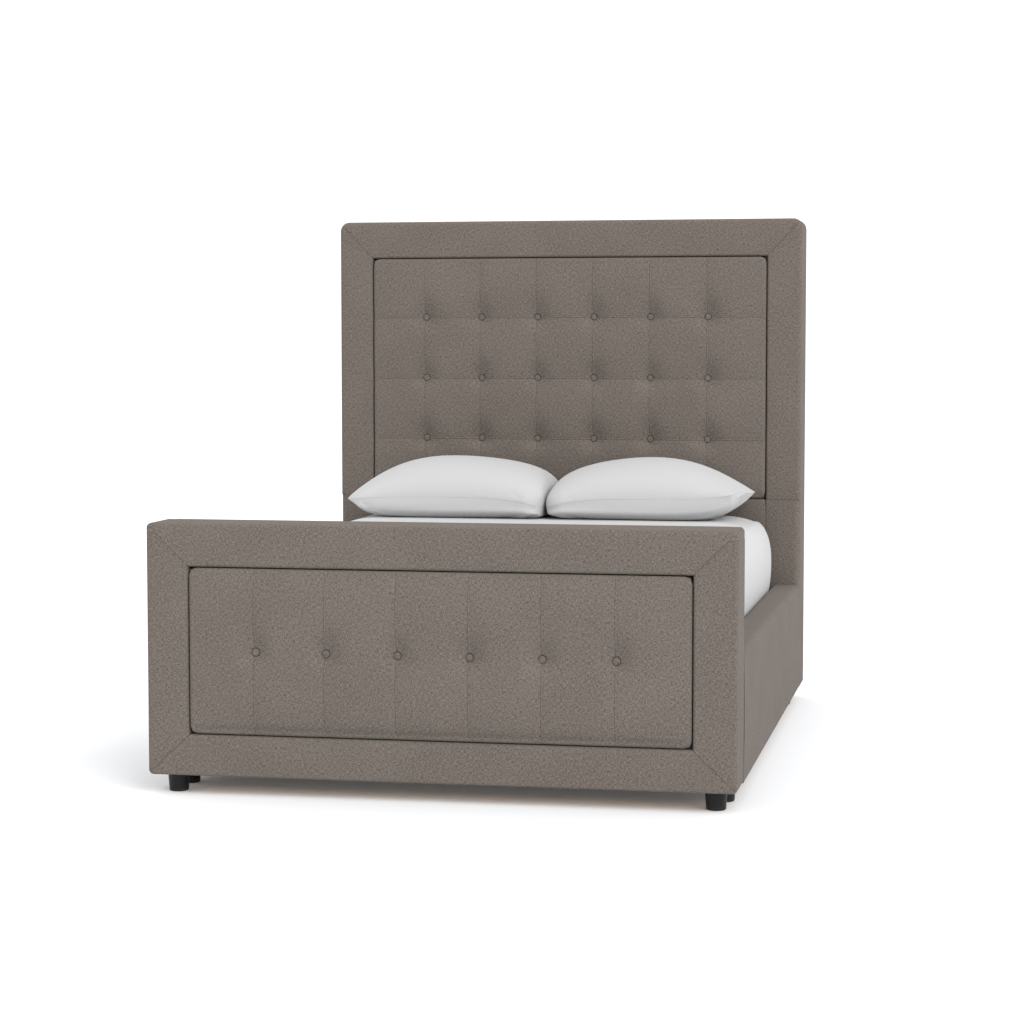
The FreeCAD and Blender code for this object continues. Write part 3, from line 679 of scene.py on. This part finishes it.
def buttons(board, columns, rows, surface):
    """Discs of radius R and rise (1 - r^5)^0.6, with the rim tucked under and gathered."""
    turn = np.linspace(0, math.tau, 41)[:-1]
    ring = np.array([0.02, 0.3, 0.6, 0.78, 0.89, 0.955, 0.99, 1.0, 0.98, 0.9])
    rise = np.concatenate([BUTTON_RISE * (1 - ring[:8] ** 5) ** 0.6, [-1.6 * MM, -2.6 * MM]])
    near_rim = smooth_step((np.arange(len(ring)) - 4) / 3)[:, None]
    ripple = 1 + 0.025 * np.cos(GATHERS * turn)[None, :] * near_rim
    radius = BUTTON_R * ring[:, None] * ripple
    disc_x = radius * np.cos(turn)
    disc_z = radius * np.sin(turn)
    disc_y = np.broadcast_to(-rise[:, None], disc_x.shape)
    centre_x, centre_z = (a.reshape(-1, 1, 1) for a in np.meshgrid(columns, rows))
    x, y, z = np.broadcast_arrays(centre_x + disc_x, surface - BUTTON_SET + disc_y, centre_z + disc_z)
    points = pack(x, y, z)
    index = np.arange(x.size).reshape(x.shape)
    around = np.concatenate([index, index[..., :1]], -1)
    quads = pack(around[:, :-1, :-1], around[:, 1:, :-1], around[:, 1:, 1:], around[:, :-1, 1:])
    faces = [quads.reshape(-1, 4), index[:, 0, ::-1], index[:, -1, :]]
    points = points.reshape(-1, 3)
    obj = build(board.name + "_button_covers", points, points[:, [0, 2]], faces)
    dress(obj, TWEED, "bed_frame", board.name + "_buttons")
    print(board.name, len(centre_x), "buttons,", len(obj.data.polygons), "faces")


buttons(HEAD, *head_tufts)
buttons(FOOT, *foot_tufts)

# %% [markdown]
# ## Side rails
# A rail is a box beam wrapped in thin foam and cloth, open underneath. Its section is an upside-down
# U with a broad round on the outer top edge, carried along the bed. Both ends butt against the boards.

# %% Rails
RAIL_WALL = 12 * MM
RAIL_SWELL = 2 * MM


def rail_section(width, tall):
    """Closed (out, up) outline of the wrapped rail: outer wall, top, inner wall, and the lining."""
    turn = np.linspace(0, math.pi / 2, 9)
    outer, inner, hem = 28 * MM, 16 * MM, 4 * MM
    hem_round = pack(width - hem + hem * np.sin(turn), hem - hem * np.cos(turn))
    side = pack(np.full(12, width), np.linspace(hem, tall - outer, 14)[1:-1])
    side[:, 0] += RAIL_SWELL * np.sin(FACE_STEPS)
    shoulder = pack(width - outer * (1 - np.cos(turn)), tall - outer * (1 - np.sin(turn)))
    inside_turn = pack(inner * (1 - np.sin(turn)), tall - inner * (1 - np.cos(turn)))
    lining = [[0, 0], [RAIL_WALL, 0], [RAIL_WALL, tall - RAIL_WALL],
              [width - RAIL_WALL, tall - RAIL_WALL], [width - RAIL_WALL, 0]]
    return np.vstack([hem_round, side, shoulder, inside_turn, lining])


def rail(side, sign):
    low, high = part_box("rail_cover_" + side)
    section = rail_section(high.x - low.x, high.z - low.z)
    inner_x = low.x if sign > 0 else high.x
    along = low.y + (high.y - low.y) * end_steps(high.y - low.y, 30 * MM)
    out, y = np.meshgrid(section[:, 0], along, indexing="ij")
    up = np.broadcast_to(section[:, 1:], out.shape)
    points = pack(inner_x + sign * out, y, low.z + up).transpose(1, 0, 2)
    steps = np.linalg.norm(np.diff(section, axis=0, prepend=section[:1]), axis=1)
    cloth = pack(y, np.broadcast_to(np.cumsum(steps)[:, None], y.shape)).transpose(1, 0, 2)
    index = np.arange(out.size).reshape(points.shape[:2])
    faces = [grid_faces(np.hstack([index, index[:, :1]])), index[:1, ::-1], index[-1:, :]]
    obj = build("rail_wrap_" + side, points.reshape(-1, 3), cloth.reshape(-1, 2), faces)
    dress(obj, TWEED, "bed_frame", "rail_cover_" + side)
    print("rail", side, "section of", len(section), "points,", round(high.y - low.y, 3), "m long")


for side, sign in (("left", -1), ("right", 1)):
    rail(side, sign)

# %% [markdown]
# ## White cottons
# The bedding is plain white cotton. Even a white cloth isn't one flat colour: its weave is a fine
# grid, its yarns differ a little, and soft creases show where it was folded. The weave and the
# creases go to the bump, and the yarns vary the colour by a hundredth or two.

# %% Cotton
def cotton(name, tone, thread, crease):
    """White plain weave. thread is its pitch in metres and crease how strongly it is rumpled."""
    material, wire, shader = start_material(
        name, Roughness=0.85, Sheen_Weight=0.15, Sheen_Roughness=0.5, Specular_IOR_Level=0.3)
    cloth = wire.node("ShaderNodeUVMap", {"uv_map": CLOTH_MAP})
    yarn = stretched(wire, cloth, (60, 700, 1), 2.0) + stretched(wire, cloth, (700, 60, 1), 2.0)
    soft = stretched(wire, cloth, (4, 7, 1), 3.0)
    dark = tuple(c * 0.95 for c in tone)
    feed(wire, shader, Base_Color=mixed(wire, yarn * 0.6 + soft * 0.6 - 0.4, (*dark, 1), (*tone, 1)))
    threads = weave(wire, cloth, thread) + yarn
    fine = wire.node("ShaderNodeBump", {}, {"Strength": 0.2, "Distance": 0.3 * MM, "Height": threads})
    folds = wire.node("ShaderNodeBump", {}, {"Strength": crease, "Distance": 4 * MM, "Height": soft,
                                            "Normal": fine})
    feed(wire, shader, Normal=folds)
    return material


SHEET = cotton("white_percale", (0.46, 0.46, 0.46), 0.9 * MM, 0.10)
PILLOWCASE = cotton("white_pillow_cotton", (0.45, 0.45, 0.45), 0.8 * MM, 0.12)

# %% [markdown]
# ## Mattress and fitted sheet
# The mattress has a soft top edge: the top falls slowly from well inside it, turns down along a
# quarter ellipse, bulges a little at half height and rounds under. The fitted sheet is stretched
# over it by elastic, so it needs no simulation: it is the same form a hair larger and open
# underneath, from the same function.

# %% Mattress form
EDGE_OUT = 50 * MM
RIM_DROP = 22 * MM
SLOPE_LONG = 120 * MM
START_TURN = 0.25
WALL_FROM = 163 * MM
UNDER_ROUND = 26 * MM
HEM = 80 * MM
SIDE_PROUD = 16 * MM
PLAN_CORNER = 16 * MM
LEAN_FROM = 185 * MM
LEAN = 0.95
NEAR_RIM = np.array([0, 8, 16, 30, 45, 60, 80, 100, 125, 150]) * MM


def mattress_rows(tall):
    """(out, down) rows below the rim: turned edge, wall that draws in, round under it, and the hem."""
    turn = np.linspace(START_TURN, math.pi / 2, 16)[1:]
    a = EDGE_OUT / (1 - math.sin(START_TURN))
    b = (WALL_FROM - RIM_DROP) / math.cos(START_TURN)
    edge = pack(a * (np.sin(turn) - math.sin(START_TURN)),
                RIM_DROP + b * (math.cos(START_TURN) - np.cos(turn)))
    down = np.linspace(WALL_FROM, tall - UNDER_ROUND, 12)[1:]
    wall = pack(EDGE_OUT - LEAN * np.clip(down - LEAN_FROM, 0, None) ** 2, down)
    turn = np.linspace(0, math.pi / 2, 8)[1:]
    under = pack(wall[-1, 0] - UNDER_ROUND * (1 - np.cos(turn)),
                 tall - UNDER_ROUND * (1 - np.sin(turn)))
    tuck = under[-1, 0] - np.linspace(0, HEM, 5)[1:]
    rows = np.vstack([edge, wall, under, pack(tuck, np.full(4, tall))])
    length = np.cumsum(np.hypot(*np.diff(np.vstack([[0, RIM_DROP], rows]), axis=0).T))
    rows[:, 1] -= RIM_DROP * (1 - length / length[-1])
    return rows


def lines_to_rim(half, count):
    """Grid lines from -half to half: close together near both ends, and even between."""
    reach = half - NEAR_RIM[-1]
    even = np.linspace(-reach, reach, count)[1:-1]
    return np.concatenate([NEAR_RIM - half, even, half - NEAR_RIM[::-1]])


def mattress_form(name, low, high, shrink):
    """The mattress block inside low and high, smaller all round by shrink. At full size it is open."""
    centre_y = (low.y + high.y) / 2
    half_x = high.x + SIDE_PROUD - EDGE_OUT - shrink
    half_y = (high.y - low.y) / 2 - EDGE_OUT - shrink
    tall = high.z - low.z - 2 * shrink
    top = high.z - shrink
    xs, ys = lines_to_rim(half_x, 26), lines_to_rim(half_y, 36)

    def height(x, y):
        slope_x = np.clip((np.abs(x) - half_x + SLOPE_LONG) / SLOPE_LONG, 0, 1)
        slope_y = np.clip((np.abs(y) - half_y + SLOPE_LONG) / SLOPE_LONG, 0, 1)
        return -RIM_DROP * np.clip(slope_x ** 2 + slope_y ** 2, 0, 1.25)

    rows = mattress_rows(tall)

    def place(x, y, h):
        return pack(x, y + centre_y, top + h)

    made = skirted_pad(name, xs, ys, PLAN_CORNER, height, rows, place, closed=shrink > 0)
    flat = (2 * half_x, 2 * half_y, np.hypot(*np.diff(np.vstack([[0, 0], rows]), axis=0).T).sum())
    return made, flat


SHEET_THICK = 1.5 * MM
body = mattress_form("mattress_body", *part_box("fitted_sheet"), SHEET_THICK)[0]
sheet, (flat_x, flat_y, drop) = mattress_form("fitted_sheet_cloth", *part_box("fitted_sheet"), 0)
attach(body, "mattress")
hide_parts("mattress")
dress(sheet, SHEET, "mattress", "fitted_sheet")
flat = (flat_x + 2 * drop, flat_y + 2 * drop)
flat[0] * flat[1] - 4 * drop ** 2
print("sheet cut", [round(side, 3) for side in flat], "m, drop", round(drop, 3))

# %% [markdown]
# ## Pillows
# A pillow is two pieces of cotton sewn together round a soft filling. A plain formula makes it look
# like a bar of soap, because the cloth's own behaviour is missing. So a slightly thin pillow is
# worked out first, and then a cloth simulation inflates it, which gives the crown, the pull at the
# corners and the small puckers along the seam. How far a point may move is capped.

# %% Pillow form before filling
PILLOW_SPANS = (84, 60)
PILLOW_CORNER = 70 * MM
CORNER_IN = 6 * MM
FRONT_IN = 11 * MM
BACK_IN = 14 * MM
SEAM_AT = 0.36
FLANK_PROUD, FLANK_AT = 12 * MM, 0.25
END_RISES = 120 * MM


def pillow_grid(box, sign, inner_power, outer_power, tips):
    """Points of the upper and the lower cloth, which share their rim.

    The height over the seam is rise * c with c = (1 - u^2)^p * (1 - v^2)^0.5, where p eases from
    inner_power at the side by the other pillow to outer_power. The underside falls from the seam
    to the bed as (1 - c^0.6)^2.2, or slower near the outer end, where the pillow lifts off. Its
    front is pushed out by a belly that is widest where c = FLANK_AT. tips is how far the seam rises
    at the inner corners, the outer front one and the outer rear one.
    """
    low, high = box
    across = [np.sin(np.linspace(-0.5, 0.5, n + 1) * math.pi) for n in PILLOW_SPANS]
    u, v = np.meshgrid(*across, indexing="ij")
    outward = u * sign
    power = inner_power + (outer_power - inner_power) * smooth_step(outward * 0.5 + 0.5)
    cross = np.clip(1 - u * u, 0, 1) ** power * np.clip(1 - v * v, 0, 1) ** 0.5
    seam = SEAM_AT * (high.z - low.z)
    outer_tip = tips[1] + (tips[2] - tips[1]) * (0.5 + v / 2)
    lift = np.where(outward > 0, outer_tip, tips[0]) * np.abs(u) ** 3
    retreat = CORNER_IN * v ** 4 + np.where(outward > 0, BACK_IN * smooth_step(v), 0)
    half_x, half_y = (high.x - low.x) / 2, (high.y - low.y) / 2
    plan_x, plan_y = round_corners(u * half_x, v * half_y, half_x, half_y, PILLOW_CORNER)
    x = (low.x + high.x) / 2 + plan_x - u * retreat
    y = (low.y + high.y) / 2 + plan_y - v * FRONT_IN * (1 - u * u)
    belly = FLANK_PROUD * cross / FLANK_AT * np.exp(1 - cross / FLANK_AT) * np.clip(-v, 0, 1)
    upper = low.z + seam + lift + (high.z - low.z - seam) * cross
    ramp = np.clip(1 - half_x * (1 - outward) / END_RISES, 0, 1) ** 1.3
    lower = low.z + (seam + lift) * np.maximum((1 - cross ** 0.6) ** 2.2, ramp)
    return pack(x, y, upper), pack(x, y - belly, lower)


def pillow_mesh(name, upper, lower):
    """Both cloths as one closed mesh, joined along the rim of the grid."""
    count = upper.shape[0] * upper.shape[1]
    top = np.arange(count).reshape(upper.shape[:2])
    inside = np.zeros(top.shape, bool)
    inside[1:-1, 1:-1] = True
    bottom = top.copy()
    bottom[inside] = count + np.arange(inside.sum())
    points = np.vstack([upper.reshape(-1, 3), lower[inside]])
    faces = [grid_faces(top), grid_faces(bottom)[:, ::-1]]
    return build(name, points, points[:, :2] - points[:, :2].mean(0), faces), top


# %% [markdown]
# The simulation runs here, frame by frame, and its result is copied into the mesh, with each point's
# path cut short at the cap. Gravity is off: the pillow's rest on the mattress is already in its form.

# %% Fill by cloth simulation
SIM_FRAMES = 20
TINY = 1e-9
CLOTH_SETTINGS = {"quality": 6, "mass": 0.25, "tension_stiffness": 25, "compression_stiffness": 25,
                  "shear_stiffness": 8, "bending_stiffness": 2, "vertex_group_mass": "seam",
                  "pin_stiffness": 50, "use_pressure": True}


def coordinates(mesh):
    points = np.empty(len(mesh.vertices) * 3, np.float32)
    mesh.vertices.foreach_get("co", points)
    return points.reshape(-1, 3).astype(float)


def fill_with_air(obj, rim, pressure, cap):
    """Inflate a closed mesh held along its seam, no point moving further than cap."""
    start = coordinates(obj.data)
    obj.vertex_groups.new(name="seam").add(rim.tolist(), 1.0, "REPLACE")
    cloth = obj.modifiers.new("fill", "CLOTH")
    for key, value in CLOTH_SETTINGS.items():
        setattr(cloth.settings, key, value)
    cloth.settings.uniform_pressure_force = pressure
    cloth.settings.effector_weights.gravity = 0
    cloth.collision_settings.use_collision = False
    for step in range(1, SIM_FRAMES + 1):
        bpy.context.scene.frame_set(step)
    seen = obj.evaluated_get(bpy.context.evaluated_depsgraph_get())
    moved = coordinates(seen.data) - start
    far = np.linalg.norm(moved, axis=1, keepdims=True)
    moved *= np.minimum(1, cap / np.maximum(far, TINY))
    obj.modifiers.remove(cloth)
    obj.data.vertices.foreach_set("co", (start + moved).astype(np.float32).ravel())
    obj.data.update()
    bpy.context.scene.frame_set(1)
    return float(far.mean())


def rope(name, path, radius, sides=8):
    """A closed cord round a path: circles of points set across the path's direction."""
    ahead = np.roll(path, -1, 0) - np.roll(path, 1, 0)
    ahead /= np.linalg.norm(ahead, axis=1, keepdims=True)
    level = np.cross(ahead, [0, 0, 1.0])
    level /= np.linalg.norm(level, axis=1, keepdims=True)
    upward = np.cross(level, ahead)
    turn = np.linspace(0, math.tau, sides + 1)[:-1, None]
    points = path[:, None] + radius * (np.cos(turn) * level[:, None] + np.sin(turn) * upward[:, None])
    index = np.arange(len(path) * sides).reshape(-1, sides)
    index = np.vstack([index, index[:1]])
    index = np.hstack([index, index[:, :1]])
    points = points.reshape(-1, 3)
    return build(name, points, points[:, :2], [grid_faces(index)])


def smooth_over(obj):
    """One subdivision, applied to the mesh."""
    smoother = obj.modifiers.new("smooth", "SUBSURF")
    smoother.levels = smoother.render_levels = 1
    fine = bpy.data.meshes.new_from_object(obj.evaluated_get(bpy.context.evaluated_depsgraph_get()))
    obj.modifiers.remove(smoother)
    obj.data = fine


# %% Make the pillows
REST_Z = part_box("fitted_sheet")[1].z + 1 * MM
REST_SOFT = 2 * MM
SEAM_THICK = 0.7 * MM
AIR, AIR_CAP = 3.5, 6 * MM
PILLOWS = {"left": (-1, 0.16, 0.72, (-0.030, -0.013, -0.013)),
           "right": (1, 0.28, 1.0, (-0.031, 0.027, 0.002))}

for side, (sign, inner_power, outer_power, tips) in PILLOWS.items():
    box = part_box("pillow_" + side)
    upper, lower = pillow_grid(box, sign, inner_power, outer_power, tips)
    pillow, top = pillow_mesh("pillow_case_" + side, upper, lower)
    rim = rim_of(top)
    moved = fill_with_air(pillow, rim, AIR, AIR_CAP)
    points = coordinates(pillow.data)
    over = (points[:, 2] - REST_Z) / REST_SOFT
    points[:, 2] = np.maximum(REST_Z + np.logaddexp(0, over) * REST_SOFT, REST_Z)
    pillow.data.vertices.foreach_set("co", points.astype(np.float32).ravel())
    seam = rope("pillow_seam_" + side, points[rim], SEAM_THICK)
    smooth_over(pillow)
    dress(pillow, PILLOWCASE, "pillow_" + side, "pillow_" + side)
    paint(seam, PILLOWCASE)
    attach(seam, "pillow_" + side)
    print("pillow", side, len(pillow.data.polygons), "faces, filled out by", round(moved / MM, 1), "mm")

# %% [markdown]
# ## Timber, plywood, steel and plastic
# The parts under the cloth keep the frame's own meshes: they only need their finishes. Wood is two
# noises drawn out along the board: broad bands of growth and fine fibres. Each piece reads its own
# Object coordinates, so the grain has to be told which way the board lies.

# %% Wood
GRAIN = {"x": (1.5, 42, 42), "y": (42, 1.5, 42), "z": (42, 42, 1.5)}
FIBRE = {"x": (12, 500, 500), "y": (500, 12, 500), "z": (500, 500, 12)}


def place_wire(wire):
    return wire.node("ShaderNodeTexCoord", output=3)


def timber(name, along, pale, deep):
    material, wire, shader = start_material(name, Specular_IOR_Level=0.35)
    place = place_wire(wire)
    bands = stretched(wire, place, GRAIN[along], 4.0, 0.6)
    fibre = stretched(wire, place, FIBRE[along], 2.0)
    rings = wire.maths("SINE", bands * 38.0) * 0.5 + 0.5
    figure = rings * 0.55 + fibre * 0.45
    feed(wire, shader, Base_Color=mixed(wire, figure, (*pale, 1), (*deep, 1)),
         Roughness=figure * 0.2 + 0.5)
    emboss(wire, shader, fibre + rings * 0.3, 0.25, 0.4 * MM)
    return material


# %% Plywood
PLY = 1.5 * MM


def plywood(name):
    """Pale rotary-cut faces, and edges that show the plies as stripes through the board's depth."""
    material, wire, shader = start_material(name, Specular_IOR_Level=0.3)
    place = place_wire(wire)
    figure = wire.maths("SINE", stretched(wire, place, (3, 3, 9), 3.0) * 45.0) * 0.5 + 0.5
    face = mixed(wire, figure * 0.5, (0.56, 0.42, 0.26, 1), (0.42, 0.29, 0.16, 1))
    split = wire.node("ShaderNodeSeparateXYZ", inputs={0: place}, output=1)
    plies = wire.maths("SINE", split * (math.tau / PLY)) * 0.5 + 0.5
    edge = mixed(wire, plies, (0.50, 0.36, 0.20, 1), (0.20, 0.12, 0.06, 1))
    facing = wire.node("ShaderNodeNewGeometry", output=1)
    turned = wire.node("ShaderNodeSeparateXYZ", inputs={0: facing}, output=1)
    on_face = wire.maths("GREATER_THAN", wire.maths("ABSOLUTE", turned), 0.5)
    feed(wire, shader, Base_Color=mixed(wire, on_face, edge, face), Roughness=figure * 0.15 + 0.55)
    return material


# %% [markdown]
# Zinc plate shows as cloudy patches in the roughness. The black feet are lacquered wood: a trace of
# orange peel in the bump, and a little scuffing near the floor. The glides are nylon.

# %% Metal, lacquer and nylon
SCUFF_HIGH = 12 * MM


def zinc(name, tone, grains):
    material, wire, shader = start_material(name, Metallic=1.0)
    cloud = stretched(wire, place_wire(wire), (grains, grains, grains), 3.0)
    dull = tuple(c * 0.75 for c in tone)
    feed(wire, shader, Base_Color=mixed(wire, cloud, (*dull, 1), (*tone, 1)),
         Roughness=cloud * 0.35 + 0.25)
    return material


def lacquer(name):
    material, wire, shader = start_material(name, Specular_IOR_Level=0.25)
    place = place_wire(wire)
    peel = stretched(wire, place, (260, 260, 260), 2.0)
    height = wire.node("ShaderNodeSeparateXYZ", inputs={0: place}, output=2)
    near_floor = wire.maths("MAXIMUM", 1 - height / SCUFF_HIGH, 0.0)
    scuff = near_floor * stretched(wire, place, (90, 90, 400), 3.0)
    feed(wire, shader, Base_Color=mixed(wire, scuff, (0.006, 0.006, 0.006, 1), (0.04, 0.038, 0.036, 1)),
         Roughness=scuff * 0.3 + peel * 0.12 + 0.4)
    emboss(wire, shader, peel, 0.12, 0.5 * MM)
    return material


def nylon(name):
    material, wire, shader = start_material(name, Specular_IOR_Level=0.45)
    grain = stretched(wire, place_wire(wire), (900, 900, 900), 2.0)
    feed(wire, shader, Base_Color=mixed(wire, grain, (0.03, 0.03, 0.032, 1), (0.05, 0.05, 0.052, 1)),
         Roughness=grain * 0.2 + 0.42)
    return material


# %% [markdown]
# The mattress's own cloth is a pale ticking with woven stripes, seen only when the mattress is
# lifted. The stripes are a sine of the cloth's own map, cut off near its top.

# %% Ticking
STRIPE = 30 * MM


def ticking(name):
    material, wire, shader = start_material(name, Roughness=0.8, Sheen_Weight=0.1)
    cloth = wire.node("ShaderNodeUVMap", {"uv_map": CLOTH_MAP})
    split = wire.node("ShaderNodeSeparateXYZ", inputs={0: cloth})
    stripe = wire.maths("GREATER_THAN", wire.maths("SINE", split * (math.tau / STRIPE)), 0.82)
    yarn = stretched(wire, cloth, (700, 700, 1), 2.0)
    feed(wire, shader, Base_Color=mixed(wire, stripe * 0.7 + yarn * 0.2, (0.66, 0.65, 0.61, 1),
                                        (0.42, 0.43, 0.46, 1)))
    emboss(wire, shader, yarn, 0.2, 0.5 * MM)
    return material


paint(body, ticking("striped_ticking"))

# %% Hand the finishes to the frame's nodes
PINE = ((0.58, 0.40, 0.22), (0.38, 0.23, 0.11))
BEECH = ((0.55, 0.38, 0.24), (0.42, 0.27, 0.15))
finishes = {
    "black_foot": lacquer("black_lacquer"),
    "plywood": plywood("birch_ply"),
    "zinc_steel": zinc("zinc_plate", (0.62, 0.63, 0.65), 120),
    "bolt_steel": zinc("bright_bolts", (0.55, 0.55, 0.56), 600),
    "glide_plastic": nylon("black_nylon"),
}
woods = {
    ("frame_timber", "x"): timber("pine_across", "x", *PINE),
    ("frame_timber", "y"): timber("pine_lengthways", "y", *PINE),
    ("frame_timber", "z"): timber("pine_upright", "z", *PINE),
    ("slat_timber", "x"): timber("beech_slats", "x", *BEECH),
}
dressed = 0
for part in frame["record"]["subparts"]:
    obj = frame["nodes"][part["node"]]
    if obj.hide_render:
        continue
    low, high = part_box(part["node"])
    longest = "xyz"[int(np.argmax(high - low))]
    obj.data.materials.clear()
    slot_name = part["material_slot"]
    obj.data.materials.append(finishes.get(slot_name) or woods[slot_name, longest])
    dressed += 1
print("frame nodes given a finish:", dressed)

# %% [markdown]
# ## Floor, light and camera
# The bed stands in a white studio: a pale floor that also glows faintly, which is painted light
# lifting the shade under the bed, an even white sky, and one broad light far off on the right. Being
# far, it falls evenly over the whole bed, and gives the rails their brighter sides.
# The camera is a long lens at eye height, a little right of the bed's middle, turned slightly left.

# %% Studio
FLOOR_HALF = 30.0
floor_mesh = bpy.data.meshes.new("studio_floor")
corners = [(FLOOR_HALF * x, FLOOR_HALF * y, 0) for x, y in ((-1, -1), (1, -1), (1, 1), (-1, 1))]
floor_mesh.from_pydata(corners, [], [(0, 1, 2, 3)])
studio_floor = bpy.data.objects.new("studio_floor", floor_mesh)
bpy.context.scene.collection.objects.link(studio_floor)
floor_paint, wire, shader = start_material("glowing_white_floor", Roughness=0.9, Specular_IOR_Level=0.0)
shader.inputs["Base Color"].default_value = (0.815, 0.827, 0.846, 1)
# The floor glows faintly by itself: painted light that lifts the shade under the bed.
shader.inputs["Emission Color"].default_value = (1, 1, 1, 1)
shader.inputs["Emission Strength"].default_value = 0.05
studio_floor.data.materials.append(floor_paint)

world = bpy.data.worlds.new("white_studio")
bpy.context.scene.world = world
world.use_nodes = True
sky = world.node_tree.nodes["Background"]
sky.inputs["Color"].default_value = (1, 1, 1, 1)
sky.inputs["Strength"].default_value = 1.24
bpy.context.scene.view_settings.view_transform = "Standard"


def far_light(name, comes_from, spread, power):
    """A broad light so far away that it falls evenly. spread is the angle it covers, in degrees."""
    data = bpy.data.lights.new(name, "SUN")
    data.angle = math.radians(spread)
    data.energy = power
    obj = bpy.data.objects.new(name, data)
    obj.rotation_euler = Vector(comes_from).to_track_quat("Z", "Y").to_euler()
    bpy.context.scene.collection.objects.link(obj)


far_light("key", (0.60, -0.60, 0.53), 40, 1.9)

# %% Camera
view_data = bpy.data.cameras.new("viewpoint")
view_data.lens = 86.5
view_data.sensor_width = 36
viewpoint = bpy.data.objects.new("viewpoint", view_data)
viewpoint.location = (1.6008, -8.1816, 1.3592)
viewpoint.rotation_euler = Euler((math.pi / 2 - 0.0697, 0.0004, 0.1945))
bpy.context.scene.collection.objects.link(viewpoint)
bpy.context.scene.camera = viewpoint

# %% [markdown]
# ## Sizes, and the end
# The looks may stand a little proud of the frame's box, but not much. The last line brings the
# whole scene up to date.

# %% Finish
bpy.context.view_layer.update()
